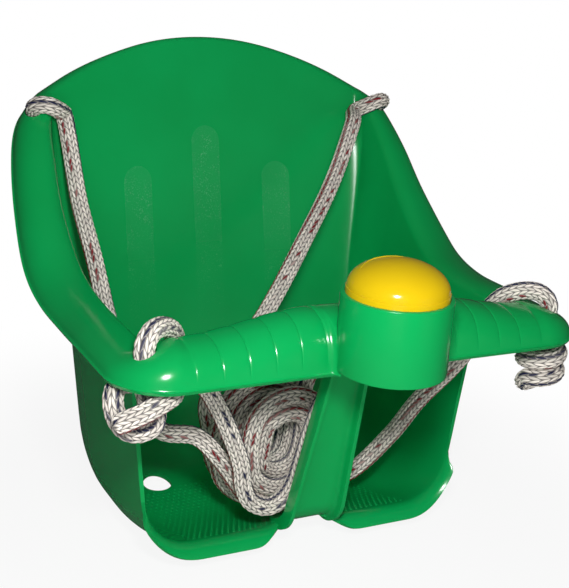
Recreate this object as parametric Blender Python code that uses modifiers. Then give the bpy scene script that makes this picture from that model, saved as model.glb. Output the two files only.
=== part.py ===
"""Toddler bucket swing: a one-piece moulded seat, its squeeze horn and its rope legs.

Run with  blender --background --python part.py  or from Blender's text editor.
Metres, +Z up.  The child faces -Y.  X = 0 is the seat's plane of symmetry, z = 0 the
surface that the seat stands on, and the origin is at the middle of its footprint.
"""

import math

import bmesh
import bpy
from mathutils import Vector

# ---------------------------------------------------------------- driving dimensions
WALL = 0.0028                 # thickness of the moulding
EDGE_LIP = 0.0014             # how far the rim's lower edge turns out

# Backrest and pan, along the middle of the seat.
BACK_TOP_Z = 0.3187           # crown of the arch
BACK_FOOT_Y = 0.0880          # where the back's straight line would meet the floor
BACK_LEAN = 0.24              # run per rise of the backrest
BACK_HOLLOW = 1.1             # how hollow the back is from side to side, 1/m
BACK_FILLET = 0.045           # radius from the back into the pan
ARCH_DROP = 0.045             # crown to notch
ARCH_POWER = 2.15             # above 2 keeps the arch full towards its ends
ARCH_ROLL = 0.0098            # width of the rim where it runs over the arch
ARCH_CROWN = 0.0036
ARCH_FLANGE = 0.0080
PAN_FRONT_Y = -0.0515         # where the pan starts to roll down into the leg lips
PAN_FRONT_Z = 0.0180          # pan height there
PAN_FLAT_Y = 0.0150           # behind this line the pan is level and the seat stands on it
POMMEL_RISE = 0.0080          # the pan swells up in front of the crotch post
POMMEL_HALF = 0.0300
WALL_FOOT_X = 0.1155          # the side walls lean in to here at the pan
LIP_ROLL = 0.0114             # radius of the lips under the thighs
LIP_INNER_X = 0.0120          # the lips fade out from here ...
LIP_FULL_X = 0.0380           # ... and are full from here

# The rim: its inner crease from the rope notch to the front of the side wall, as
# x, y, z, then tilt of the section (degrees), width, crown and drop of the outer edge.
RIM_GUIDE = (
    (0.1290, 0.1275, 0.2755, -42, 0.0220, 0.0062, 0.0085),
    (0.1330, 0.1190, 0.2625, -28, 0.0265, 0.0068, 0.0088),
    (0.1355, 0.1045, 0.2440, -12, 0.0290, 0.0074, 0.0090),
    (0.1360, 0.0815, 0.2160, 0, 0.0310, 0.0078, 0.0092),
    (0.1340, 0.0505, 0.1895, 0, 0.0342, 0.0076, 0.0088),
    (0.1325, 0.0230, 0.1745, 0, 0.0352, 0.0075, 0.0080),
    (0.1310, -0.0120, 0.1685, 0, 0.0340, 0.0075, 0.0070),
    (0.1310, -0.0490, 0.1685, 0, 0.0340, 0.0075, 0.0065),
)
NOTCH_X = 0.139               # rope notch, at the end of the arch
RIM_BASE_Z = 0.1620           # lower edge of the arm ring
RING_HALF = 0.1650            # outer edge of the ring at the sides
RING_INNER = 0.1310           # its inner edge
CORNER_OUT = 0.0360           # plan radius of the ring's outer corners
CORNER_IN = 0.0085            # plan radius of its inner corners
BAR_FRONT_Y = -0.1315         # lower front edge of the front bar
BAR_WIDTH = 0.0420
BAR_HIGH = 0.0350             # height of the bar beside the horn cup
BAR_LOW = 0.0230              # height at the ring's corners
SIDE_HIGH = 0.0140            # height of the ring along the sides
SIDE_CROWN = 0.0075           # how much of it is the rise from the crease
INNER_SKIRT = 0.0100          # height of the ring's inner flange

GRIP_COUNT = 5                # flutes on each side of the horn cup
GRIP_PITCH = 0.0168
GRIP_FIRST_X = 0.0460         # crest of the flute next to the cup
GRIP_DEPTH = 0.0011

# Crotch post.
POST_HALF_FOOT = 0.0210
POST_HALF_HEAD = 0.0170
POST_FOOT = (-0.0715, 0.0270)  # y, z of the flanges' front edges at the foot
POST_HEAD = (-0.0950, 0.1340)  # and just under the horn cup
POST_FLANGE = 0.0070
POST_FILLET = 0.0025
POST_ROLL = 0.0260            # radius with which the post rounds under the pan
POST_TOE_TILT = 0.10          # its lower end still slopes this much (radians)

# Horn cup in the middle of the bar, and what it holds.
CUP_Y = -0.1395
CUP_RADIUS = 0.0340
CUP_BASE_Z = 0.1665
CUP_TOP_Z = 0.2133
CUP_WALL = 0.0018
CUP_LIP = 0.0008              # the mouth is this much narrower than the bore
CUP_LIP_HIGH = 0.0025
DOME_BAND = 0.0035            # upright band of the push dome above the cup
DOME_HIGH = 0.0210            # the dome's height above the cup
DOME_WALL = 0.0020
DOME_STEP = 0.0004
DOME_FLANGE = 0.0015
RIB_RADIUS = 0.0120           # ring under the dome that presses on the bellows
PLATE_THICK = 0.0022
PLATE_INSET = 0.0020          # from the cup's lower edge to the plate
LUG_RADIUS = 0.0036
LUG_RING = 0.0292             # circle of the screws
LUG_HIGH = 0.0190
SCREW_COUNT = 3
SCREW_RADIUS = 0.0013
SCREW_HEAD = 0.0028
SCREW_HEAD_HIGH = 0.0014
SCREW_LENGTH = 0.0110
BELLOWS_RADIUS = 0.0225
BELLOWS_FOLD = 0.0040
BELLOWS_FOLDS = 6
BELLOWS_WALL = 0.0012
BELLOWS_HIGH = 0.0468
REED_RADIUS = 0.0058
REED_FLANGE = 0.0085
REED_BORE = 0.0020

# Holes.
ROPE = 0.0120                 # rope diameter
ROPE_HOLE = 0.0135
HOLE_FRONT = (0.1440, -0.1065)
HOLE_REAR_STATION = 0.9       # rim station of the upper rope holes
HOLE_REAR_SHARE = 0.52        # their place across the rim
DRAIN_HOLE = 0.0170
DRAIN_X = 0.0640
DRAIN_Y = 0.0560
CLEARANCE = 0.0003

# Ropes.  One for each side, knotted under both of its holes; the spare length hangs in
# the seat as an oval hank.  Each hank has two layers, one behind the other.
PITCH = 0.0127                # middle to middle of neighbouring turns
KNOT_RADIUS = 0.0132          # of the turns round the knot's core
KNOT_TURNS = 1.6
KNOT_TAIL = 0.0150
HANK_X = -0.0120
HANK_RADIUS = 0.0385          # of the outer turn's ends
HANK_STRAIGHT = 0.0080        # half the straight run between them
HANK_TURNS = 2                # in each layer
HANK_POINTS = 24              # points of a turn
HANK_LEFT = (-0.0400, 0.0710)  # y of the front layer, z of the middle
HANK_RIGHT = (-0.0146, 0.0690)
ROUTE_LEFT_REAR = (           # from the rear hole down the side wall to the hank
    (-0.1190, 0.0990, 0.2140), (-0.1165, 0.0710, 0.1780), (-0.1140, 0.0500, 0.1480),
    (-0.1120, 0.0200, 0.1190), (-0.1090, -0.0080, 0.0980), (-0.0960, -0.0250, 0.0870),
    (-0.0760, -0.0350, 0.0850))
ROUTE_LEFT_FRONT = (          # from behind the front bar to the hank
    (-0.1100, -0.0760, 0.1530), (-0.0990, -0.0660, 0.1350), (-0.0800, -0.0470, 0.1230),
    (-0.0580, -0.0320, 0.1180))
ROUTE_RIGHT_REAR = (
    (0.1030, 0.1000, 0.2645), (0.0736, 0.0750, 0.2266), (0.0350, 0.0450, 0.1900),
    (-0.0060, 0.0150, 0.1500), (-0.0340, 0.0020, 0.1200))
ROUTE_RIGHT_FRONT = (
    (0.1110, -0.0760, 0.1530), (0.1010, -0.0680, 0.1320), (0.0900, -0.0430, 0.0950),
    (0.0820, -0.0270, 0.0640), (0.0577, -0.0180, 0.0330), (0.0320, -0.0155, 0.0240))

GREEN = (0.006, 0.300, 0.070, 1.0)
YELLOW = (0.860, 0.560, 0.010, 1.0)


# ---------------------------------------------------------------- small tools
def clear_scene():
    """Remove every object of the scene."""
    for item in list(bpy.data.objects):
        bpy.data.objects.remove(item, do_unlink=True)


def smoothstep(low, high, value):
    """0 below low, 1 above high and a smooth step between."""
    part = min(1.0, max(0.0, (value - low) / (high - low)))
    return part * part * (3 - 2 * part)


def spline(rows, t):
    """Catmull-Rom curve through rows of numbers, t from 0 to 1."""
    last = len(rows) - 1
    place = min(max(t, 0.0), 1.0) * last
    index = min(int(place), last - 1)
    u = place - index
    ends = [rows[max(index - 1, 0)], rows[index], rows[index + 1], rows[min(index + 2, last)]]
    out = []
    for a, b, c, d in zip(*ends):
        out.append(0.5 * (2 * b + (c - a) * u + (2 * a - 5 * b + 4 * c - d) * u ** 2
                          + (3 * b - a - 3 * c + d) * u ** 3))
    return out


def new_mesh_object(name, bm, collection, material=None):
    """Turn a bmesh into a smooth-shaded object of a collection."""
    mesh = bpy.data.meshes.new(name)
    bm.to_mesh(mesh)
    bm.free()
    item = bpy.data.objects.new(name, mesh)
    collection.objects.link(item)
    if material:
        mesh.materials.append(material)
    return item


def plastic(name, colour, roughness):
    """A moulded plastic's Principled material."""
    material = bpy.data.materials.new(name)
    material.use_nodes = True
    shader = material.node_tree.nodes["Principled BSDF"]
    shader.inputs["Base Color"].default_value = colour
    shader.inputs["Roughness"].default_value = roughness
    shader.inputs["Metallic"].default_value = 0.0
    material.diffuse_color = colour
    return material


# ---------------------------------------------------------------- the seat's surface
BACK_STEPS = 8                # stations down the backrest, round into the pan, along it
FILLET_STEPS = 5
PAN_STEPS = 5
WALL_END = BACK_STEPS + FILLET_STEPS + PAN_STEPS
PAN_COLUMNS = 8               # from the middle to the side walls' corner
CORNER_ROWS = 4
CREASE = PAN_COLUMNS + CORNER_ROWS + 3
SKIRT = CREASE - 1
POST_STEPS = 4
POST_ROLL_STEPS = 6
INNER_ROWS = 3
OUTER_ROWS = 6
OUTER_EDGE = CREASE + INNER_ROWS + OUTER_ROWS


def back_y(x, z):
    """The backrest's surface at height z, x off the middle."""
    return BACK_FOOT_Y + BACK_LEAN * z - BACK_HOLLOW * x * x


def pan_z(x, y):
    """The pan's upper surface."""
    ease = 1 - smoothstep(PAN_FRONT_Y - (PAN_FLAT_Y - PAN_FRONT_Y), PAN_FLAT_Y, y)
    rise = (PAN_FRONT_Z - WALL) * 2 * ease
    pommel = POMMEL_RISE * 2 * ease * (1 - smoothstep(0, POMMEL_HALF, abs(x)))
    return WALL + rise + pommel


def arch_z(x):
    """Height of the arch, x off the middle."""
    return BACK_TOP_Z - ARCH_DROP * (x / NOTCH_X) ** ARCH_POWER


def centre_station(x, k):
    """Point k of the line that runs down the back at x, into the pan and forward."""
    turn = math.pi / 2 - math.atan(BACK_LEAN)
    reach = BACK_FILLET * math.tan(turn / 2)
    foot_y = back_y(x, WALL)
    rise = Vector((BACK_LEAN, 1)).normalized()
    if k <= BACK_STEPS:
        top_z = arch_z(x)
        low_z = WALL + reach * rise.y
        z = top_z + (low_z - top_z) * k / BACK_STEPS
        return Vector((x, back_y(x, z), z))
    if k < BACK_STEPS + FILLET_STEPS:
        angle = turn * (1 - (k - BACK_STEPS) / FILLET_STEPS)
        y = foot_y - reach + BACK_FILLET * math.sin(angle)
        z = WALL + BACK_FILLET * (1 - math.cos(angle))
        return Vector((x, y, z))
    start_y = foot_y - reach
    y = start_y + (PAN_FRONT_Y - start_y) * (k - BACK_STEPS - FILLET_STEPS) / PAN_STEPS
    return Vector((x, y, pan_z(x, y)))


def side_x(k):
    """Where the pan's columns end and the corner into the side wall starts."""
    return spline(((0.112,), (0.106,), (0.098,), (0.086,), (0.083,), (0.083,)), k / WALL_END)[0]


def rim_frame(k):
    """Crease point, outward and upward axes and section sizes at wall station k."""
    t = k / WALL_END
    x, y, z, tilt, width, crown, drop = spline(RIM_GUIDE, t)
    ahead = Vector(spline(RIM_GUIDE, t + 0.02)[:3])
    behind = Vector(spline(RIM_GUIDE, t - 0.02)[:3])
    along = (ahead - behind).normalized()
    out = Vector((math.cos(math.radians(tilt)), 0, math.sin(math.radians(tilt))))
    out = (out - along * out.dot(along)).normalized()
    return Vector((x, y, z)), out, along.cross(out), width, crown, drop


def rim_section(width, crown, drop):
    """Offsets (outward, upward) over the rim, from its crease to its lower outer edge."""
    peak = 0.36 * width
    points = []
    for row in range(1, INNER_ROWS + 1):
        angle = math.pi / 2 * row / INNER_ROWS
        points.append((peak * (1 - math.cos(angle)), crown * math.sin(angle)))
    for row in range(1, OUTER_ROWS):
        angle = math.pi / 2 * row / (OUTER_ROWS - 1)
        out = peak + (width - peak) * math.sin(angle) ** 0.9
        up = -drop + (crown + drop) * math.cos(angle) ** 0.9 if row < OUTER_ROWS - 1 else -drop
        points.append((out, up))
    out, up = points[-1]
    points[-1] = (out, up + 2 * EDGE_LIP)
    points.append((out + EDGE_LIP, up))
    return points


def wall_column(k, row):
    """Side wall at station k: row 1 starts round the corner, the last is the crease."""
    low = centre_station(side_x(k), k)
    crease = rim_frame(k)[0]
    foot_x = crease.x + (WALL_FOOT_X - crease.x) * smoothstep(0.0, 0.35, k / WALL_END)
    corner = centre_station(foot_x, k)
    up = (crease - corner)
    height = up.length
    up.normalize()
    radius = min(corner.x - low.x, 0.6 * height)
    start = corner + (low - corner).normalized() * radius
    end = corner + up * radius
    if row <= CORNER_ROWS:
        angle = math.pi / 2 * row / CORNER_ROWS
        centre = start + end - corner
        return centre - (end - corner) * math.cos(angle) + (corner - start) * math.sin(angle)
    skirt = crease - up * min(INNER_SKIRT, 0.35 * (height - radius))
    if row == SKIRT - PAN_COLUMNS:
        return skirt
    return end.lerp(skirt, 0.5)


def seat_point(k, v):
    """Point of the seat's visible surface at wall station k, column v."""
    if v <= PAN_COLUMNS:
        return centre_station(side_x(k) * v / PAN_COLUMNS, k)
    if v < CREASE:
        return wall_column(k, v - PAN_COLUMNS)
    crease, out, up, width, crown, drop = rim_frame(k)
    if v == CREASE:
        return crease
    n, h = rim_section(width, crown, drop)[v - CREASE - 1]
    return crease + out * n + up * h


def arch_rim(v):
    """The rim's section over the arch at column v of the backrest's top edge."""
    at = seat_point(0, v)
    flat = min(v, PAN_COLUMNS)
    along = seat_point(0, flat + 1) - seat_point(0, max(flat - 1, 0))
    along = along.normalized() if flat else Vector((1, 0, 0))
    behind = Vector((0, 1, -BACK_LEAN))
    out = (behind - along * behind.dot(along)).normalized()
    up = along.cross(out)
    _, notch_out, notch_up, width, crown, drop = rim_frame(0)
    turned_share = max(0, v - PAN_COLUMNS) / (CREASE - PAN_COLUMNS)
    out = out.slerp(notch_out, turned_share)
    up = up.slerp(notch_up, turned_share)
    part = smoothstep(0.060, NOTCH_X - 0.012, at.x)
    width = ARCH_ROLL + (width - ARCH_ROLL) * part
    crown = ARCH_CROWN + (crown - ARCH_CROWN) * part
    drop = ARCH_FLANGE + (drop - ARCH_FLANGE) * part
    return [at + out * n + up * h for n, h in rim_section(width, crown, drop)]


def bar_stations():
    """Inner point, outward axis, width, top and flute depth along corner and front bar."""
    stations = []
    inner_y = BAR_FRONT_Y + BAR_WIDTH
    outer_c = Vector((RING_HALF - CORNER_OUT, BAR_FRONT_Y + CORNER_OUT, 0))
    inner_c = Vector((RING_INNER - CORNER_IN, inner_y + CORNER_IN, 0))
    steps = 6
    for step in range(steps + 1):
        angle = math.pi / 2 * step / steps
        ray = Vector((math.cos(angle), -math.sin(angle), 0))
        inner = inner_c + ray * CORNER_IN
        outer = outer_c + ray * CORNER_OUT
        high = SIDE_HIGH + (BAR_LOW - SIDE_HIGH) * smoothstep(0, steps, step)
        stations.append((inner, outer, high, 0.0))
    first = GRIP_FIRST_X + (GRIP_COUNT - 0.5) * GRIP_PITCH
    last = GRIP_FIRST_X - 0.5 * GRIP_PITCH
    parts = 4
    for step in range(GRIP_COUNT * parts + 1):
        x = first - step * GRIP_PITCH / parts
        phase = (step % parts) / parts
        groove = GRIP_DEPTH * (1 - math.sin(math.pi * phase))
        stations.append((Vector((x, inner_y, 0)), Vector((x, BAR_FRONT_Y, 0)), None, groove))
    cup_x = math.sqrt(CUP_RADIUS ** 2 - (BAR_FRONT_Y - CUP_Y) ** 2)
    fillet = last - cup_x
    for angle in (math.radians(step) for step in (35, 65, 90)):
        x = last - fillet * math.sin(angle)
        front = BAR_FRONT_Y - fillet * (1 - math.cos(angle))
        stations.append((Vector((x, inner_y, 0)), Vector((x, front, 0)), None, 0.0))
    for x in (0.6 * cup_x, 0.0):
        stations.append((Vector((x, inner_y, 0)), Vector((x, front, 0)), None, 0.0))
    full = []
    for inner, outer, high, groove in stations:
        if high is None:
            near = smoothstep(RING_INNER - CORNER_IN, CUP_RADIUS, inner.x)
            high = BAR_LOW + (BAR_HIGH - BAR_LOW) * near
        full.append((inner, outer, high, groove))
    return full


def bar_point(station, v):
    """Point of the ring ahead of the side walls, for columns from the skirt outward."""
    inner, outer, high, groove = station
    across = outer - inner
    width = across.length
    out = across.normalized()
    crown = SIDE_CROWN + 0.35 * (high - SIDE_HIGH)
    crease = inner + Vector((0, 0, RIM_BASE_Z + high - crown))
    drop = high - crown
    if v == SKIRT:
        return crease - Vector((0, 0, drop * 0.9)) + out * groove
    if v == CREASE:
        return crease + out * groove
    n, h = rim_section(width, crown, drop)[v - CREASE - 1]
    away = smoothstep(-drop, crown, h)
    point = crease + out * n + Vector((0, 0, h))
    if v < OUTER_EDGE - 1:
        point -= Vector((0, 0, groove * away)) + out * groove * (1 - away)
    return point


def lip_turn(point, v):
    """How far, in radians, the pan's front edge rolls down at column v."""
    start = smoothstep(LIP_INNER_X, LIP_FULL_X, point.x)
    end = 1 - 0.35 * smoothstep(PAN_COLUMNS, PAN_COLUMNS + CORNER_ROWS - 1, v)
    return math.radians(4 + 84 * start * end)


def seat_surface():
    """The visible surface of one half of the seat, open at X = 0."""
    bm = bmesh.new()
    grid = {}
    for k in range(WALL_END + 1):
        for v in range(OUTER_EDGE + 1):
            grid[k, v] = bm.verts.new(seat_point(k, v))
    # the rim goes on over the arch, narrowing to a rolled edge
    arch = {}
    for v in range(CREASE):
        for row, point in enumerate(arch_rim(v)):
            arch[v, row] = bm.verts.new(point)
    for row in range(OUTER_EDGE - CREASE):
        arch[CREASE, row] = grid[0, CREASE + 1 + row]
    for v in range(CREASE):
        bm.faces.new([grid[0, v], grid[0, v + 1], arch[v + 1, 0], arch[v, 0]])
        for row in range(OUTER_EDGE - CREASE - 1):
            bm.faces.new([arch[v, row], arch[v + 1, row], arch[v + 1, row + 1], arch[v, row + 1]])
    # corner and front bar
    bars = bar_stations()
    for index, station in enumerate(bars):
        for v in range(SKIRT, OUTER_EDGE + 1):
            grid[WALL_END + 1 + index, v] = bm.verts.new(bar_point(station, v))
    # the lips under the thighs
    front = {v: grid[WALL_END, v].co.copy() for v in range(OUTER_EDGE + 1)}
    lip_end = PAN_COLUMNS + CORNER_ROWS
    lips = {}
    for v in range(lip_end):
        forward = (grid[WALL_END, v].co - grid[WALL_END - 1, v].co).normalized()
        side = grid[WALL_END, v + 1].co - grid[WALL_END, max(v - 1, 0)].co
        face = side.cross(-forward).normalized()
        turn = lip_turn(front[v], v)
        for row in range(3):
            a = turn * (row + 1) / 3
            roll = forward * math.sin(a) - face * (1 - math.cos(a))
            lips[row, v] = bm.verts.new(front[v] + roll * LIP_ROLL)
    for (k, v), vert in list(grid.items()):
        corners = [(k, v), (k + 1, v), (k + 1, v + 1), (k, v + 1)]
        if all(key in grid for key in corners):
            bm.faces.new([grid[key] for key in corners])
    for v in range(lip_end):
        edge = [grid[WALL_END, v], grid[WALL_END, v + 1]]
        for row in range(3):
            if v + 1 == lip_end:
                ends = [lips[row, v]]
            else:
                ends = [lips[row, v], lips[row, v + 1]]
            if v + 1 == lip_end:
                bm.faces.new([edge[0], ends[0], edge[1]])
                edge = [ends[0], edge[1]]
            else:
                bm.faces.new([edge[0], ends[0], ends[1], edge[1]])
                edge = ends
    for vert in bm.verts:
        if abs(vert.co.x) < 1e-6:
            vert.co.x = 0.0
    return bm


def cylinder(name, radius, low, high, place, collection, axis=None, sides=32):
    """A capped cylinder between two heights along its axis, standing at a place."""
    bm = bmesh.new()
    bmesh.ops.create_cone(bm, cap_ends=True, segments=sides, radius1=radius, radius2=radius,
                          depth=high - low)
    bmesh.ops.translate(bm, verts=bm.verts, vec=(0, 0, (high + low) / 2))
    item = new_mesh_object(name, bm, collection)
    item.location = place
    if axis:
        item.rotation_mode = "QUATERNION"
        item.rotation_quaternion = Vector((0, 0, 1)).rotation_difference(axis)
    return item


def as_tool(item):
    """Hide a cutter or a joined blank from the finished model."""
    item.hide_render = True
    item.display_type = "WIRE"
    return item


def boolean(item, operation, tool):
    """Add a Boolean modifier; the moulding is closed, which the MANIFOLD solver needs."""
    step = item.modifiers.new(operation.lower() + "_" + tool.name, "BOOLEAN")
    step.operation = operation
    step.solver = "MANIFOLD"
    step.object = as_tool(tool)


def turned(name, profile, collection, material, steps=36):
    """A turned piece: a profile of (radius, height) turned about Z with a Screw modifier."""
    bm = bmesh.new()
    verts = [bm.verts.new((r, 0, z)) for r, z in profile]
    for a, b in zip(verts, verts[1:]):
        bm.edges.new((a, b))
    if profile[0][0] > 0 and profile[-1][0] > 0:
        bm.edges.new((verts[-1], verts[0]))
    item = new_mesh_object(name, bm, collection, material)
    screw = item.modifiers.new("turn", "SCREW")
    screw.steps = steps
    screw.render_steps = steps
    screw.use_merge_vertices = True
    screw.merge_threshold = 1e-5
    screw.use_smooth_shade = True
    return item


# ---------------------------------------------------------------- crotch post
def post_stations():
    """The post from the bar's roof down and round under the pan.

    Each station is the middle of the web's front face, the axis that the flanges
    point along, their height and the half width.
    """
    foot = Vector((0, *POST_FOOT))
    up = (Vector((0, *POST_HEAD)) - foot).normalized()
    forward = Vector((0, -up.z, up.y))
    turn = math.pi / 2 - math.atan2(-up.y, up.z) - POST_TOE_TILT

    def web(z):
        return foot + up * ((z - foot.z) / up.z) - forward * POST_FLANGE

    def half(z):
        part = (z - foot.z) / (POST_HEAD[1] - foot.z)
        return POST_HALF_FOOT + (POST_HALF_HEAD - POST_HALF_FOOT) * max(part, 0.0)

    def rolled(start, angle):
        normal = forward * math.cos(angle) - up * math.sin(angle)
        return start + (normal - forward) * POST_ROLL, normal

    low_z = POST_FOOT[1]
    for _ in range(6):
        toe = rolled(web(low_z), turn)[0]
        low_z += pan_z(0, toe.y) - 1.5 * WALL - toe.z
    top_z = RIM_BASE_Z + BAR_HIGH - 0.6 * WALL
    stations = []
    for step in range(POST_STEPS + 1):
        z = top_z + (low_z - top_z) * step / POST_STEPS
        stations.append((web(z), forward, POST_FLANGE, half(z)))
    for step in range(1, POST_ROLL_STEPS + 1):
        share = step / POST_ROLL_STEPS
        point, normal = rolled(web(low_z), turn * share)
        stations.append((point, normal, POST_FLANGE * (1 - 0.7 * share ** 2), half(low_z)))
    return stations


def post_blank(collection):
    """The channel-shaped post as a closed loft."""
    bm = bmesh.new()
    rings = []
    for point, normal, flange, half in post_stations():
        inside = half - WALL
        outline = ((-half, -WALL), (half, -WALL), (half, flange), (inside, flange),
                   (inside, POST_FILLET), (inside - POST_FILLET, 0),
                   (POST_FILLET - inside, 0), (-inside, POST_FILLET),
                   (-inside, flange), (-half, flange))
        rings.append([bm.verts.new(point + Vector((x, 0, 0)) + normal * d) for x, d in outline])
    for ring, following in zip(rings, rings[1:]):
        for index, vert in enumerate(ring):
            beside = (index + 1) % len(ring)
            bm.faces.new((vert, following[index], following[beside], ring[beside]))
    bm.faces.new(rings[0])
    bm.faces.new(list(reversed(rings[-1])))
    bmesh.ops.recalc_face_normals(bm, faces=bm.faces)
    return new_mesh_object("post_blank", bm, collection)


# ---------------------------------------------------------------- the moulding
def screw_places():
    """Middle of each screw of the horn's plate, in plan."""
    turns = [math.pi / 2 + 2 * math.pi * index / SCREW_COUNT for index in range(SCREW_COUNT)]
    return [(LUG_RING * math.cos(turn), CUP_Y + LUG_RING * math.sin(turn)) for turn in turns]


def rear_hole():
    """Middle and axis of the upper rope hole on the +X side."""
    crease, out, up, width, crown, _ = rim_frame(HOLE_REAR_STATION)
    return crease + out * width * HOLE_REAR_SHARE + up * crown, up


def build_seat(parts, tools):
    """The moulded seat: back, pan, side walls, arm ring, front bar, post and horn cup."""
    green = plastic("green_moulding", GREEN, 0.28)
    seat = new_mesh_object("seat_shell", seat_surface(), parts, green)
    mirror = seat.modifiers.new("other_half", "MIRROR")
    mirror.merge_threshold = 1e-5
    shell = seat.modifiers.new("wall", "SOLIDIFY")
    shell.thickness = WALL
    shell.offset = -1
    shell.use_quality_normals = True

    boolean(seat, "UNION", post_blank(tools))
    middle = (0, CUP_Y, 0)
    boolean(seat, "UNION", cylinder("cup_blank", CUP_RADIUS, CUP_BASE_Z, CUP_TOP_Z, middle,
                                    tools, sides=48))
    bore = CUP_RADIUS - CUP_WALL
    lip_z = CUP_TOP_Z - CUP_LIP_HIGH
    boolean(seat, "DIFFERENCE", cylinder("cup_bore", bore, RIM_BASE_Z - 0.01, lip_z, middle,
                                         tools, sides=48))
    boolean(seat, "DIFFERENCE", cylinder("cup_mouth", bore - CUP_LIP, lip_z - 0.005,
                                         CUP_TOP_Z + 0.01, middle, tools, sides=48))
    plate_top = CUP_BASE_Z + PLATE_INSET + PLATE_THICK
    lug_low = plate_top + CLEARANCE
    for index, (x, y) in enumerate(screw_places()):
        lug = cylinder(f"lug_{index + 1}", LUG_RADIUS, lug_low, lug_low + LUG_HIGH, (x, y, 0),
                       tools, sides=14)
        boolean(seat, "UNION", lug)
        pilot = cylinder(f"pilot_{index + 1}", SCREW_RADIUS + CLEARANCE, lug_low - 0.001,
                         CUP_BASE_Z + PLATE_INSET + SCREW_LENGTH + 0.001, (x, y, 0), tools, sides=12)
        boolean(seat, "DIFFERENCE", pilot)

    place, axis = rear_hole()
    for side, name in ((1, "right"), (-1, "left")):
        hole = cylinder(f"front_rope_hole_{name}", ROPE_HOLE / 2, RIM_BASE_Z - 0.005,
                        RIM_BASE_Z + BAR_LOW + 0.01, (side * HOLE_FRONT[0], HOLE_FRONT[1], 0),
                        tools, sides=20)
        boolean(seat, "DIFFERENCE", hole)
        hole = cylinder(f"rear_rope_hole_{name}", ROPE_HOLE / 2, -0.010, 0.012,
                        (side * place.x, place.y, place.z), tools,
                        axis=Vector((side * axis.x, axis.y, axis.z)), sides=20)
        boolean(seat, "DIFFERENCE", hole)
        drain = cylinder(f"drain_{name}", DRAIN_HOLE / 2, -0.01, 0.02,
                         (side * DRAIN_X, DRAIN_Y, 0), tools, sides=20)
        boolean(seat, "DIFFERENCE", drain)
    return seat


# ---------------------------------------------------------------- the squeeze horn
def build_dome(parts, tools):
    """The push dome: a flange that the cup's mouth holds back, a band and a cap."""
    material = plastic("yellow_dome", YELLOW, 0.22)
    bore = CUP_RADIUS - CUP_WALL
    band = bore - CUP_LIP - CLEARANCE
    rim = bore - CLEARANCE
    flange_top = CUP_TOP_Z - CUP_LIP_HIGH - CLEARANCE
    band_top = CUP_TOP_Z + DOME_BAND
    cap = DOME_HIGH - DOME_BAND
    steps = 8
    outer = band - DOME_STEP
    profile = []
    for step in range(steps + 1):
        angle = math.pi / 2 * step / steps
        profile.append((outer * math.sin(angle), band_top + cap * math.cos(angle)))
    profile += [(band, band_top), (band, flange_top), (rim, flange_top),
                (rim, flange_top - DOME_FLANGE), (band - DOME_WALL, flange_top - DOME_FLANGE)]
    rib_out = RIB_RADIUS + DOME_WALL / 2
    rib_in = RIB_RADIUS - DOME_WALL / 2
    inner_a = band - DOME_WALL
    inner_b = cap - DOME_WALL

    def ceiling(radius):
        return band_top + inner_b * math.sqrt(max(0.0, 1 - (radius / inner_a) ** 2))

    low = bellows_top() + CLEARANCE
    for radius in (inner_a, 0.95 * inner_a, 0.85 * inner_a, 0.65 * inner_a, rib_out):
        profile.append((radius, ceiling(radius)))
    profile += [(rib_out, low), (rib_in, low), (rib_in, ceiling(rib_in)), (0, ceiling(0))]
    dome = turned("horn_dome", profile, parts, material)
    dome.location = (0, CUP_Y, 0)
    return dome


def bellows_top():
    """Height of the bellows' upper end."""
    return CUP_BASE_Z + PLATE_INSET + PLATE_THICK + CLEARANCE + BELLOWS_HIGH


def build_bellows(parts, tools):
    """The folded air bellows between the plate and the dome, open below for the reed."""
    material = plastic("grey_bellows", (0.55, 0.55, 0.50, 1.0), 0.55)
    low = CUP_BASE_Z + PLATE_INSET + PLATE_THICK + CLEARANCE
    high = bellows_top()
    mouth = REED_FLANGE + CLEARANCE
    pitch = BELLOWS_HIGH / BELLOWS_FOLDS
    outer = []
    inner = []
    for fold in range(BELLOWS_FOLDS):
        z = high - pitch * fold
        outer += [(BELLOWS_RADIUS - BELLOWS_FOLD, z), (BELLOWS_RADIUS, z - pitch / 2)]
        wall = BELLOWS_WALL if fold else 0
        inner += [(BELLOWS_RADIUS - BELLOWS_FOLD - BELLOWS_WALL, z - BELLOWS_WALL + wall),
                  (BELLOWS_RADIUS - BELLOWS_WALL, z - pitch / 2)]
    outer.append((BELLOWS_RADIUS - BELLOWS_FOLD, low))
    inner.append((BELLOWS_RADIUS - BELLOWS_FOLD - BELLOWS_WALL, low + BELLOWS_WALL))
    profile = [(0, high)] + outer + [(mouth, low), (mouth, low + BELLOWS_WALL)]
    profile += list(reversed(inner)) + [(0, high - BELLOWS_WALL)]
    bellows = turned("horn_bellows", profile, parts, material, steps=24)
    bellows.location = (0, CUP_Y, 0)
    return bellows


def build_reed(parts, tools):
    """The reed plug in the plate, with its air bore."""
    material = plastic("white_reed", (0.80, 0.80, 0.78, 1.0), 0.40)
    under = CUP_BASE_Z + PLATE_INSET
    top = under + PLATE_THICK + CLEARANCE
    profile = ((REED_BORE, top + 0.0020), (REED_FLANGE, top + 0.0020), (REED_FLANGE, top),
               (REED_RADIUS, top), (REED_RADIUS, under), (REED_BORE, under))
    reed = turned("horn_reed", profile, parts, material, steps=24)
    reed.location = (0, CUP_Y, 0)
    return reed


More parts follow.
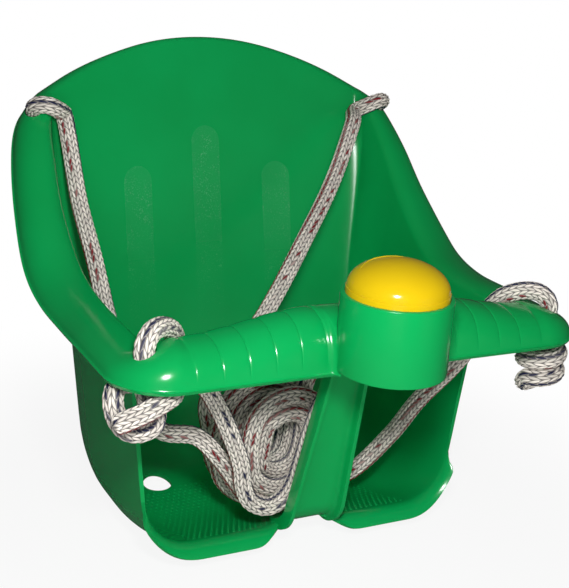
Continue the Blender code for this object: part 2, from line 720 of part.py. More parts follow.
def build_plate(parts, tools):
    """The plate that closes the cup from below, bored for the reed and the screws."""
    material = plastic("green_plate", GREEN, 0.40)
    under = CUP_BASE_Z + PLATE_INSET
    plate = cylinder("horn_base_plate", CUP_RADIUS - CUP_WALL - CLEARANCE, under,
                     under + PLATE_THICK, (0, CUP_Y, 0), parts, sides=48)
    plate.data.materials.append(material)
    reed = cylinder("reed_bore", REED_RADIUS + CLEARANCE, under - 0.01, under + 0.01,
                    (0, CUP_Y, 0), tools, sides=24)
    boolean(plate, "DIFFERENCE", reed)
    for index, (x, y) in enumerate(screw_places()):
        hole = cylinder(f"screw_hole_{index + 1}", SCREW_RADIUS + 2 * CLEARANCE, under - 0.01,
                        under + 0.01, (x, y, 0), tools, sides=12)
        boolean(plate, "DIFFERENCE", hole)
    return plate


def build_screws(parts, tools):
    """Pan-head screws up through the plate into the cup's lugs."""
    material = plastic("zinc_screw", (0.60, 0.60, 0.62, 1.0), 0.35)
    seat_z = CUP_BASE_Z + PLATE_INSET - CLEARANCE
    profile = ((0, seat_z + SCREW_LENGTH), (SCREW_RADIUS * 0.6, seat_z + SCREW_LENGTH),
               (SCREW_RADIUS, seat_z + SCREW_LENGTH - SCREW_RADIUS), (SCREW_RADIUS, seat_z),
               (SCREW_HEAD, seat_z), (SCREW_HEAD, seat_z - 0.5 * SCREW_HEAD_HIGH),
               (0.7 * SCREW_HEAD, seat_z - SCREW_HEAD_HIGH), (0, seat_z - SCREW_HEAD_HIGH))
    screws = []
    for index, (x, y) in enumerate(screw_places()):
        screw = turned(f"plate_screw_{index + 1}", profile, parts, material, steps=12)
        screw.location = (x, y, 0)
        screws.append(screw)
    return screws


# ---------------------------------------------------------------- the ropes
def smooth_points(route):
    """Closely spaced points of a smooth curve through the route's own points."""
    sizes = [(b - a).length for a, b in zip(route, route[1:])]
    ahead = [route[1] * 2 - route[2]] + list(route) + [route[-1] * 2 - route[-2]]
    points = []
    for index, size in enumerate(sizes):
        before, start, end, after = ahead[index:index + 4]
        leave = (end - before) / ((start - before).length + size) * size
        arrive = (after - start) / (size + (after - end).length) * size
        steps = max(4, int(size / 0.001))
        for step in range(steps):
            u = step / steps
            points.append(start * (2 * u ** 3 - 3 * u ** 2 + 1) + leave * (u ** 3 - 2 * u ** 2 + u)
                          + end * (3 * u ** 2 - 2 * u ** 3) + arrive * (u ** 3 - u ** 2))
    points.append(route[-1].copy())
    return points


def thinned(points):
    """Keep a point wherever the curve has turned by 30 degrees or run 2.2 diameters."""
    kept = [points[0]]
    run = 0.0
    heading = (points[1] - points[0]).normalized()
    for before, here, after in zip(points, points[1:], points[2:]):
        run += (here - before).length
        now = (after - here).normalized()
        if run > 2.2 * ROPE or now.dot(heading) < math.cos(math.radians(30)):
            kept.append(here)
            run = 0.0
            heading = now
    kept.append(points[-1])
    return kept


def least_gap(points):
    """Least gap between turns of a tube along the points, its close neighbours apart."""
    least = 1.0
    along = [0.0]
    for a, b in zip(points, points[1:]):
        along.append(along[-1] + (b - a).length)
    for i, a in enumerate(points):
        for j in range(i + 1, len(points)):
            if along[j] - along[i] > 2.6 * ROPE:
                least = min(least, (points[j] - a).length - ROPE)
    return least


def rope_tube(name, points, resolution, collection, material):
    """A capped tube of rope along its points."""
    curve = bpy.data.curves.new(name, "CURVE")
    curve.dimensions = "3D"
    curve.bevel_depth = ROPE / 2
    curve.bevel_resolution = resolution
    curve.use_fill_caps = True
    path = curve.splines.new("POLY")
    path.points.add(len(points) - 1)
    for place, point in zip(path.points, points):
        place.co = (*point, 1)
    curve.materials.append(material)
    item = bpy.data.objects.new(name, curve)
    collection.objects.link(item)
    return item


def knot_points(core, tail_angle, hand):
    """A stopper knot: down its core, then up round the core in turns, and a short tail."""
    points = [core + Vector((0, 0, z)) for z in (0.0180, 0.0080, -0.0040)]
    first = tail_angle - hand * 2 * math.pi * KNOT_TURNS
    ray = Vector((math.cos(first), math.sin(first), 0))
    points.append(core + ray * 0.0030 + Vector((0, 0, -0.0155)))
    points.append(core + ray * 0.0095 + Vector((0, 0, -0.0185)))
    steps = int(12 * KNOT_TURNS)
    for step in range(1, steps + 1):
        angle = first + hand * 2 * math.pi * KNOT_TURNS * step / steps
        ray = Vector((math.cos(angle), math.sin(angle), 0))
        z = -0.0140 + PITCH * KNOT_TURNS * step / steps
        points.append(core + ray * KNOT_RADIUS + Vector((0, 0, z)))
    away = Vector((-math.sin(angle), math.cos(angle), 0)) * hand
    points.append(points[-1] + (away + 0.35 * ray) * 0.6 * KNOT_TAIL)
    points.append(points[-1] + (away + 0.45 * ray) * 0.6 * KNOT_TAIL)
    return points


def hank_points(place, first, last, hand):
    """An oval hank that winds inward in one layer and outward in the next.

    place is the first layer's y and the middle's z, first and last the angles where the
    rope comes in and leaves, in turns, and hand the sense of winding.
    """
    y, z = place
    points = []
    begin = first
    end = last + 2 * HANK_TURNS
    count = round((end - begin) * HANK_POINTS)
    for step in range(count + 1):
        turn = begin + (end - begin) * step / count
        radius = HANK_RADIUS - PITCH * (HANK_TURNS - abs(turn - HANK_TURNS))
        layer = PITCH * smoothstep(HANK_TURNS - 0.25, HANK_TURNS + 0.25, turn)
        angle = math.pi + hand * 2 * math.pi * turn
        shift = HANK_STRAIGHT * max(-1.0, min(1.0, 2.2 * math.sin(angle)))
        points.append(Vector((HANK_X + radius * math.cos(angle), y + layer,
                              z + shift + radius * math.sin(angle))))
    for index, beside in ((0, 1), (-1, -2)):
        away = (points[index] - points[beside])
        away.y = 0
        tip = points[index] + away.normalized() * 1.05 * ROPE
        points.insert(0 if index == 0 else len(points), tip)
    return points


def leg_points(knot, over, route, hank_end, hank_next):
    """A rope's leg: its knot, up through the hole, over the rim and on to the hank."""
    away = (hank_end - hank_next).normalized()
    meet = hank_end + away * CLEARANCE
    points = list(reversed(knot)) + over + [Vector(point) for point in route]
    smooth = smooth_points(points + [meet + away * 1.1 * ROPE])
    return thinned(smooth) + [meet]


def build_ropes(parts):
    """The two ropes: four knotted legs and the two hanks between them."""
    material = plastic("braided_rope", (0.62, 0.58, 0.52, 1.0), 0.85)
    place, axis = rear_hole()
    outward = rim_frame(HOLE_REAR_STATION)[1]
    hanks = {
        "left": hank_points(HANK_LEFT, 0.07, -0.27, 1),
        "right": hank_points(HANK_RIGHT, -0.25, 0.0, -1),
    }
    for side, name in ((-1, "left"), (1, "right")):
        hank = hanks[name]
        if name == "left":
            rear_end, front_end = hank[:2], hank[:-3:-1]
            rear_route, front_route = ROUTE_LEFT_REAR, ROUTE_LEFT_FRONT
        else:
            rear_end, front_end = hank[:-3:-1], hank[:2]
            rear_route, front_route = ROUTE_RIGHT_REAR, ROUTE_RIGHT_FRONT
        rope_tube(f"rope_hank_{name}", hank, 1, parts, material)
        x, y = HOLE_FRONT
        knot = knot_points(Vector((side * x, y, 0.1440)), math.pi if side < 0 else 0.3, side)
        over = [Vector((side * px, py, pz)) for px, py, pz in (
            (0.1440, -0.1065, 0.1760), (0.1432, -0.1060, 0.1890), (0.1370, -0.1010, 0.1975),
            (0.1270, -0.0940, 0.1970), (0.1175, -0.0860, 0.1885), (0.1125, -0.0800, 0.1720))]
        front = leg_points(knot, over, front_route, *front_end)
        rope_tube(f"rope_front_{name}", front, 2, parts, material)

        hole, up, out = (Vector((side * v.x, v.y, v.z)) for v in (place, axis, outward))
        knot = knot_points(hole + Vector((side * 0.0020, 0.0160, -0.0420)), math.pi / 2, side)
        over = [hole + up * h - out * n for h, n in (
            (-0.0130, 0), (-0.0040, 0), (0.0060, 0), (0.0115, 0.0050), (0.0105, 0.0125),
            (0.0030, 0.0185), (-0.0090, 0.0205))]
        rear = leg_points(knot, over, rear_route, *rear_end)
        rope_tube(f"rope_rear_{name}", rear, 2, parts, material)
        for label, points in (("hank", hank), ("front", front), ("rear", rear)):
            length = sum((b - a).length for a, b in zip(points, points[1:]))
            print(f"rope_{label}_{name}: {len(points)} points, {length:.3f} m, "
                  f"least gap {1000 * least_gap(points):.2f} mm")


def main():
    clear_scene()
    parts = bpy.data.collections.new("toddler_bucket_swing")
    tools = bpy.data.collections.new("cutters")
    for collection in (parts, tools):
        bpy.context.scene.collection.children.link(collection)
    build_seat(parts, tools)
    build_dome(parts, tools)
    build_bellows(parts, tools)
    build_reed(parts, tools)
    build_plate(parts, tools)
    build_screws(parts, tools)
    build_ropes(parts)


main()
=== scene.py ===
"""Toddler bucket swing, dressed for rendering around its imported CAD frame.

The moulding, the pan's dots, the push dome, its bellows and the two ropes are modelled here at
full smoothness; the reed, plate and screws of the horn are the CAD solids with better finishes.
Metres, +Z up, the child faces -Y, X = 0 is the plane of symmetry.
"""

import logging
import math
from dataclasses import dataclass, field
from enum import Enum
from typing import Callable, Iterable, Sequence

import bmesh
import bpy
import numpy as np
from mathutils import Matrix, Vector

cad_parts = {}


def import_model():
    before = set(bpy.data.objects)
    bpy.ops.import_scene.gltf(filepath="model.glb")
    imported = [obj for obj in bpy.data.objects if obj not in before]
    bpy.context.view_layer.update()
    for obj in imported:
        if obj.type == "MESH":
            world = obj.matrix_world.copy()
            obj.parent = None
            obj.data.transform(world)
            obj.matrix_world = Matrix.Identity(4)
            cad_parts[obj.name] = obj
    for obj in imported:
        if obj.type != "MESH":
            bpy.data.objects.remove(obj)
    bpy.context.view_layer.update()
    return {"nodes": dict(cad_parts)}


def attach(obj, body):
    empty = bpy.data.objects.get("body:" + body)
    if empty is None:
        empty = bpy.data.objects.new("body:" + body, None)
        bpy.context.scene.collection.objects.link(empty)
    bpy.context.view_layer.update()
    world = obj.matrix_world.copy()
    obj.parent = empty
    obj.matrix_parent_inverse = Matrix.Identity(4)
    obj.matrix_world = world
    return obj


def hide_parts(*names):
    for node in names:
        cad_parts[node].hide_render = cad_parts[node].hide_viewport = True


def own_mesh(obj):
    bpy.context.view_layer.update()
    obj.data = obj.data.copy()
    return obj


LOG = logging.getLogger("bucket_swing")
CLEARANCE = 0.0003
Row = Sequence[float]


class Side(Enum):
    """The two sides of the seat, by the sign of X."""

    LEFT = -1
    RIGHT = 1


# ------------------------------------------------------------------ shared helpers
def smoothstep(low: float, high: float, value: float) -> float:
    """0 below low, 1 above high and a smooth step between."""
    part = min(1.0, max(0.0, (value - low) / (high - low)))
    return part * part * (3 - 2 * part)


def spline(rows: Sequence[Row], t: float) -> list[float]:
    """Catmull-Rom curve through rows of numbers.

    Args:
        rows: the numbers at equal steps of the parameter.
        t: the parameter, from 0 to 1.

    Returns:
        One number for each column.
    """
    last = len(rows) - 1
    place = min(max(t, 0.0), 1.0) * last
    index = min(int(place), last - 1)
    u = place - index
    ends = [rows[max(index - 1, 0)], rows[index], rows[index + 1], rows[min(index + 2, last)]]
    return [0.5 * (2 * b + (c - a) * u + (2 * a - 5 * b + 4 * c - d) * u ** 2
                   + (3 * b - a - 3 * c + d) * u ** 3) for a, b, c, d in zip(*ends)]


def smooth_points(route: Sequence[Vector], step: float) -> list[Vector]:
    """Closely spaced points of a smooth curve through a route's own points.

    Args:
        route: the points that the curve passes through.
        step: about how far apart the points are.

    Returns:
        The points, from the route's first to its last.
    """
    sizes = [(b - a).length for a, b in zip(route, route[1:])]
    ahead = [route[1] * 2 - route[2]] + list(route) + [route[-1] * 2 - route[-2]]
    points = []
    for index, size in enumerate(sizes):
        before, start, end, after = ahead[index:index + 4]
        leave = (end - before) / ((start - before).length + size) * size
        arrive = (after - start) / (size + (after - end).length) * size
        steps = max(2, round(size / step))
        for count in range(steps):
            u = count / steps
            points.append(start * (2 * u ** 3 - 3 * u ** 2 + 1) + leave * (u ** 3 - 2 * u ** 2 + u)
                          + end * (3 * u ** 2 - 2 * u ** 3) + arrive * (u ** 3 - u ** 2))
    points.append(route[-1].copy())
    return points


# ------------------------------------------------------------------ node material helper
class Graph:
    """A material's node tree, built in a few calls."""

    def __init__(self, name: str) -> None:
        """Start a material that holds one Principled shader.

        Args:
            name: the material's name.
        """
        self.material = bpy.data.materials.new(name)
        self.material.use_nodes = True
        self.tree = self.material.node_tree
        self.shader = self.tree.nodes["Principled BSDF"]
        self.coords = self.node("ShaderNodeTexCoord").outputs["Object"]

    def node(self, kind: str, values: dict | None = None, **settings: object) -> bpy.types.Node:
        """Add a node.

        Args:
            kind: the node's type.
            values: socket name or number to a value, or to a socket to link from.
            **settings: the node's own properties.

        Returns:
            The node.
        """
        made = self.tree.nodes.new(kind)
        for key, value in settings.items():
            setattr(made, key, value)
        for key, value in (values or {}).items():
            self.put(made.inputs[key], value)
        return made

    def put(self, socket: bpy.types.NodeSocket, value: object) -> None:
        """Set a socket, or link another socket to it.

        Args:
            socket: the input.
            value: a plain value, or the output to link.
        """
        if isinstance(value, bpy.types.NodeSocket):
            self.tree.links.new(value, socket)
        else:
            socket.default_value = value

    def surface(self, **values: object) -> None:
        """Set or link the Principled shader's sockets; underscores stand for spaces."""
        for key, value in values.items():
            self.put(self.shader.inputs[key.replace("_", " ")], value)

    def maths(self, operation: str, a: object, b: object = 0.0) -> object:
        """Add a Math node and return its output."""
        return self.node("ShaderNodeMath", {0: a, 1: b}, operation=operation).outputs[0]

    def noise(self, scale: float, detail: float = 2.0, coords: object = None,
              rough: float = 0.5) -> object:
        """Add a noise texture.

        Args:
            scale: how fine it is.
            detail: its number of octaves.
            coords: where it is read, or None for the Object coordinates.
            rough: how strong the fine octaves are.

        Returns:
            Its value, about 0.5.
        """
        source = self.coords if coords is None else coords
        return self.node("ShaderNodeTexNoise", {"Vector": source, "Scale": scale,
                                                "Detail": detail, "Roughness": rough}).outputs[0]

    def ramp(self, value: object, low: float, high: float, start: float = 0.0,
             end: float = 1.0) -> object:
        """Map a value from low..high to start..end with smooth ends."""
        return self.node("ShaderNodeMapRange", {"Value": value, 1: low, 2: high, 3: start, 4: end},
                         interpolation_type="SMOOTHSTEP").outputs[0]

    def blend(self, share: object, a: object, b: object, mode: str = "MIX") -> object:
        """Add a colour mix.

        Args:
            share: how much of the second colour shows.
            a: the first colour.
            b: the second colour.
            mode: the way they are mixed.

        Returns:
            The mixed colour.
        """
        mix = self.node("ShaderNodeMix", data_type="RGBA", blend_type=mode)
        for socket, value in ((mix.inputs[0], share), (mix.inputs[6], a), (mix.inputs[7], b)):
            self.put(socket, value)
        return mix.outputs[2]

    def bump(self, height: object, distance: float, strength: float = 1.0,
             under: object = None) -> object:
        """Add a bump node.

        Args:
            height: the relief, from 0 to 1.
            distance: its height in metres.
            strength: how much of it shows.
            under: the normal that it is added to, or None for the surface's own.

        Returns:
            The normal.
        """
        values = {"Height": height, "Distance": distance, "Strength": strength}
        if under is not None:
            values["Normal"] = under
        return self.node("ShaderNodeBump", values).outputs[0]


# ------------------------------------------------------------------ finishes
@dataclass(frozen=True)
class GlossyMoulding:
    """Glossy injection-moulded polyolefin with fine surface waviness."""

    name: str
    colour: tuple[float, float, float]
    deep: tuple[float, float, float]
    roughness: float = 0.20
    strips: bool = False
    strip_places: tuple[tuple[float, float, float], ...] = (
        (0.0, 0.2560, 0.0800), (-0.0585, 0.2280, 0.0900), (0.0585, 0.2280, 0.0900))
    strip_half: float = 0.0122
    strip_soft: float = 0.0012
    back_depths: tuple[float, float] = (0.06, 0.08)

    def make(self) -> bpy.types.Material:
        """Build the material.

        Returns:
            The material.
        """
        g = Graph(self.name)
        broad = g.noise(9.0, 3.0)
        colour = g.blend(g.ramp(broad, 0.30, 0.70), (*self.deep, 1), (*self.colour, 1))
        grain = g.noise(420.0, 2.0)
        wear = g.ramp(g.noise(60.0, 5.0, rough=0.7), 0.56, 0.74)
        rough = g.maths("MULTIPLY_ADD", wear, 0.06)
        g.put(rough.node.inputs[2], self.roughness)
        normal = g.bump(g.noise(26.0, 2.0), 0.0006, 0.30)
        normal = g.bump(grain, 0.00004, 0.35, normal)
        if self.strips:
            speckle, mask = self.speckled_strips(g)
            colour = g.blend(g.maths("MULTIPLY", mask, 0.05), colour, (0.05, 0.42, 0.17, 1))
            colour = g.blend(g.maths("MULTIPLY", speckle, 0.45), colour, (0.14, 0.52, 0.26, 1))
            rough = g.maths("ADD", rough, g.maths("MULTIPLY", mask, 0.15))
            normal = g.bump(speckle, 0.0002, 0.5, normal)
        g.surface(Base_Color=colour, Roughness=rough, Normal=normal, IOR=1.49)
        return g.material

    def speckled_strips(self, g: Graph) -> tuple[object, object]:
        """Add three upright strips on the backrest that are etched and speckled.

        Args:
            g: the material's graph.

        Returns:
            The speckles and the strips' mask.
        """
        split = g.node("ShaderNodeSeparateXYZ", {0: g.coords})
        x, y, z = split.outputs
        total = None
        for centre, top, low in self.strip_places:
            off = g.maths("ABSOLUTE", g.maths("SUBTRACT", x, centre))
            above = g.maths("MAXIMUM", g.maths("SUBTRACT", z, top - self.strip_half), 0.0)
            out = g.maths("SQRT", g.maths("ADD", g.maths("MULTIPLY", off, off),
                                          g.maths("MULTIPLY", above, above)))
            inside = g.ramp(out, self.strip_half, self.strip_half - self.strip_soft)
            strip = g.maths("MULTIPLY", inside, g.ramp(z, low, top))
            total = strip if total is None else g.maths("MAXIMUM", total, strip)
        mask = g.maths("MULTIPLY", total, g.ramp(y, *self.back_depths))
        dots = g.ramp(g.noise(850.0, 1.0, rough=0.8), 0.56, 0.66)
        patches = g.ramp(g.noise(70.0, 3.0, rough=0.6), 0.38, 0.62, 0.15, 1.0)
        return g.maths("MULTIPLY", g.maths("MULTIPLY", dots, mask), patches), mask


@dataclass(frozen=True)
class BraidedRope:
    """Solid-braid synthetic rope: lengthwise columns of stitches, two of them dyed."""

    name: str = "braided_rope"
    columns: int = 14
    stitch: float = 0.0046
    slant: float = 0.9
    pale: tuple[float, float, float] = (0.90, 0.83, 0.75)
    red: tuple[float, float, float] = (0.21, 0.006, 0.012)
    navy: tuple[float, float, float] = (0.008, 0.012, 0.055)
    full_lanes: tuple[int, int] = (2, 9)
    stray_lanes: tuple[int, int] = (5, 12)

    def relief(self, along: np.ndarray, around: np.ndarray) -> np.ndarray:
        """How far the stitches stand up, from 0 to 1.

        Args:
            along: distance along the rope at each point of its surface.
            around: share of the way round it at each point.

        Returns:
            The height at each point.
        """
        column = around * self.columns
        lane = np.floor(column + 1e-6)
        across = column - lane
        lean = np.where(lane % 2 == 0, self.slant, -self.slant) * (across - 0.5)
        within = (along / self.stitch + lean) % 1.0
        return np.sin(np.pi * np.clip(across, 0, 1)) ** 0.5 * (
            0.45 + 0.55 * np.sin(np.pi * within) ** 0.7)

    def make(self) -> bpy.types.Material:
        """Build the material, which repeats the stitches of the mesh from its UV map and paints
        shade into the gaps between them.

        Returns:
            The material.
        """
        g = Graph(self.name)
        lay = g.node("ShaderNodeUVMap", uv_map="lay").outputs[0]
        around, along, _ = g.node("ShaderNodeSeparateXYZ", {0: lay}).outputs
        column = g.maths("MULTIPLY", around, float(self.columns))
        lane = g.maths("FLOOR", column)
        across = g.maths("FRACT", column)
        odd = g.maths("MODULO", lane, 2.0)
        sign = g.maths("SUBTRACT", self.slant, g.maths("MULTIPLY", odd, 2 * self.slant))
        lean = g.maths("MULTIPLY", g.maths("SUBTRACT", across, 0.5), sign)
        phase = g.maths("ADD", g.maths("DIVIDE", along, self.stitch), lean)
        within = g.maths("FRACT", phase)
        height = g.maths("MULTIPLY", self.arch(g, across), self.arch(g, within))
        cell = g.node("ShaderNodeCombineXYZ", {0: lane, 1: g.maths("FLOOR", phase)}).outputs[0]
        odds = g.node("ShaderNodeTexWhiteNoise", {"Vector": cell},
                      noise_dimensions="2D").outputs["Value"]
        # Painted shade: each stitch darkens toward its edges, down to 0.16 in the gaps between
        # stitches, times a random tone for each stitch.
        gap_shade_and_tone = g.maths("MULTIPLY", g.ramp(height, 0.02, 0.50, 0.16, 1.0),
                       g.ramp(odds, 0.0, 1.0, 0.78, 1.08))
        colour = g.blend(1.0, (*self.pale, 1), g.node(
            "ShaderNodeCombineColor", {0: gap_shade_and_tone, 1: gap_shade_and_tone, 2: gap_shade_and_tone}).outputs[0], "MULTIPLY")
        worn = g.ramp(g.noise(30.0, 3.0), 0.30, 0.55, 0.75, 1.0)
        middle = g.ramp(height, 0.26, 0.40)
        some = g.ramp(odds, 0.55, 0.60)
        for lanes in (self.full_lanes, self.stray_lanes):
            for number, dye in zip(lanes, (self.red, self.navy)):
                here = g.maths("COMPARE", lane, float(number))
                g.put(here.node.inputs[2], 0.1)
                share = g.maths("MULTIPLY", g.maths("MULTIPLY", here, middle), worn)
                if lanes is self.stray_lanes:
                    share = g.maths("MULTIPLY", share, some)
                colour = g.blend(share, colour, (*dye, 1))
        fibre = g.node("ShaderNodeCombineXYZ", {
            0: g.maths("MULTIPLY", around, 60.0), 1: g.maths("MULTIPLY", along, 500.0)})
        normal = g.bump(height, 0.0006, 0.7)
        normal = g.bump(g.noise(6.0, 3.0, coords=fibre.outputs[0]), 0.0002, 0.5, normal)
        g.surface(Base_Color=colour, Roughness=0.5, Normal=normal, Specular_IOR_Level=0.4)
        return g.material

    @staticmethod
    def arch(g: Graph, share: object) -> object:
        """A parabola that is 0 at both ends of a share and 1 in its middle."""
        left = g.maths("MULTIPLY", share, 4.0)
        return g.maths("MULTIPLY", left, g.maths("SUBTRACT", 1.0, share))


@dataclass(frozen=True)
class PlainFinish:
    """A satin finish for the small pieces inside the horn cup."""

    name: str
    colour: tuple[float, float, float]
    roughness: float
    metallic: float = 0.0

    def make(self) -> bpy.types.Material:
        """Build the material.

        Returns:
            The material.
        """
        g = Graph(self.name)
        shade = g.ramp(g.noise(90.0, 4.0), 0.3, 0.7)
        dark = tuple(0.82 * c for c in self.colour)
        rough = g.maths("ADD", g.maths("MULTIPLY", shade, 0.12), self.roughness - 0.06)
        g.surface(Base_Color=g.blend(shade, (*dark, 1), (*self.colour, 1)), Roughness=rough,
                  Metallic=self.metallic, Normal=g.bump(g.noise(500.0, 2.0), 0.00005, 0.4))
        return g.material


GREEN = GlossyMoulding("green_moulding", (0.0024, 0.365, 0.086), (0.0020, 0.325, 0.072),
                       strips=True)
YELLOW = GlossyMoulding("yellow_dome", (0.690, 0.470, 0.005), (0.640, 0.420, 0.004), 0.14)
PLATE = PlainFinish("green_plate", (0.010, 0.300, 0.090), 0.42)
BELLOWS = PlainFinish("grey_bellows", (0.55, 0.55, 0.50), 0.55)
REED = PlainFinish("white_reed", (0.78, 0.78, 0.76), 0.40)
ZINC = PlainFinish("zinc_screw", (0.62, 0.62, 0.64), 0.32, 1.0)


# ------------------------------------------------------------------ mesh helpers
def placed_grid(bm: bmesh.types.BMesh, along: int, across: int,
                place: Callable[[int, int], Vector]) -> None:
    """Add a grid whose points are put on a surface.

    Args:
        bm: the mesh that it is added to.
        along: number of cells in the first direction.
        across: number of cells in the second one.
        place: the surface's point at a grid point.
    """
    made = bmesh.ops.create_grid(bm, x_segments=along, y_segments=across, size=1.0)
    for vert in made["verts"]:
        i = round((vert.co.x + 1) / 2 * along)
        j = round((vert.co.y + 1) / 2 * across)
        vert.co = place(i, j)


def spun(profile: Sequence[tuple[float, float]], centre_y: float,
         steps: int) -> bmesh.types.BMesh:
    """Turn a profile about an upright axis on the plane of symmetry.

    Args:
        profile: its points, as radius and height.
        centre_y: where the axis stands.
        steps: faces round it.

    Returns:
        The closed surface.
    """
    bm = bmesh.new()
    verts = [bm.verts.new((radius, centre_y, z)) for radius, z in profile]
    edges = [bm.edges.new(pair) for pair in zip(verts, verts[1:])]
    bmesh.ops.spin(bm, geom=verts + edges, cent=(0, centre_y, 0), axis=(0, 0, 1),
                   angle=2 * math.pi, steps=steps, use_merge=True)
    bmesh.ops.remove_doubles(bm, verts=bm.verts, dist=1e-6)
    return bm


def linked(name: str, bm: bmesh.types.BMesh) -> bpy.types.Object:
    """Turn a bmesh into an object in the scene.

    Args:
        name: the object's name.
        bm: its mesh, which is freed.

    Returns:
        The object.
    """
    mesh = bpy.data.meshes.new(name)
    bm.to_mesh(mesh)
    bm.free()
    item = bpy.data.objects.new(name, mesh)
    bpy.context.scene.collection.objects.link(item)
    return item


def finished(name: str, bm: bmesh.types.BMesh, finish: bpy.types.Material,
             sharp: float = 40.0) -> bpy.types.Object:
    """Turn a bmesh into a smooth-shaded object.

    Args:
        name: the piece's name.
        bm: its mesh, which is freed.
        finish: its material.
        sharp: edges that turn more than this many degrees stay sharp.

    Returns:
        The object, linked to the scene.
    """
    item = linked(name, bm)
    item.data.shade_smooth()
    item.data.set_sharp_from_angle(angle=math.radians(sharp))
    item.data.materials.append(finish)
    return item


def cylinder(radius: float, low: float, high: float, place: Vector | Row, sides: int = 64,
             axis: Vector | None = None) -> bpy.types.Object:
    """A capped cylinder for joining or cutting.

    Args:
        radius: its radius.
        low: where it starts along its axis.
        high: where it ends.
        place: the axis's origin.
        sides: faces round it.
        axis: the axis's direction, or None for +Z.

    Returns:
        The object.
    """
    bm = bmesh.new()
    bmesh.ops.create_cone(bm, cap_ends=True, segments=sides, radius1=radius, radius2=radius,
                          depth=high - low)
    bmesh.ops.translate(bm, verts=bm.verts, vec=(0, 0, (high + low) / 2))
    if axis is not None:
        turn = Vector((0, 0, 1)).rotation_difference(axis).to_matrix()
        bmesh.ops.rotate(bm, verts=bm.verts, cent=(0, 0, 0), matrix=turn)
    bmesh.ops.translate(bm, verts=bm.verts, vec=place)
    return linked("tool", bm)


def settle(item: bpy.types.Object, tools: Iterable[bpy.types.Object] = ()) -> None:
    """Apply an object's modifiers to its mesh.

    Args:
        item: the object.
        tools: the objects that its modifiers used, which are removed.
    """
    bpy.context.view_layer.update()
    graph = bpy.context.evaluated_depsgraph_get()
    mesh = bpy.data.meshes.new_from_object(item.evaluated_get(graph))
    item.modifiers.clear()
    item.data = mesh
    for tool in tools:
        bpy.data.objects.remove(tool, do_unlink=True)


def soften(item: bpy.types.Object, width: float, degrees: float) -> bpy.types.Object:
    """Round an object's sharp edges.

    Args:
        item: the object.
        width: how wide the rounding is.
        degrees: edges that turn more than this are rounded.

    Returns:
        The object.
    """
    bevel = item.modifiers.new("edges", "BEVEL")
    bevel.width = width
    bevel.segments = 3
    bevel.limit_method = "ANGLE"
    bevel.angle_limit = math.radians(degrees)
    settle(item)
    return item


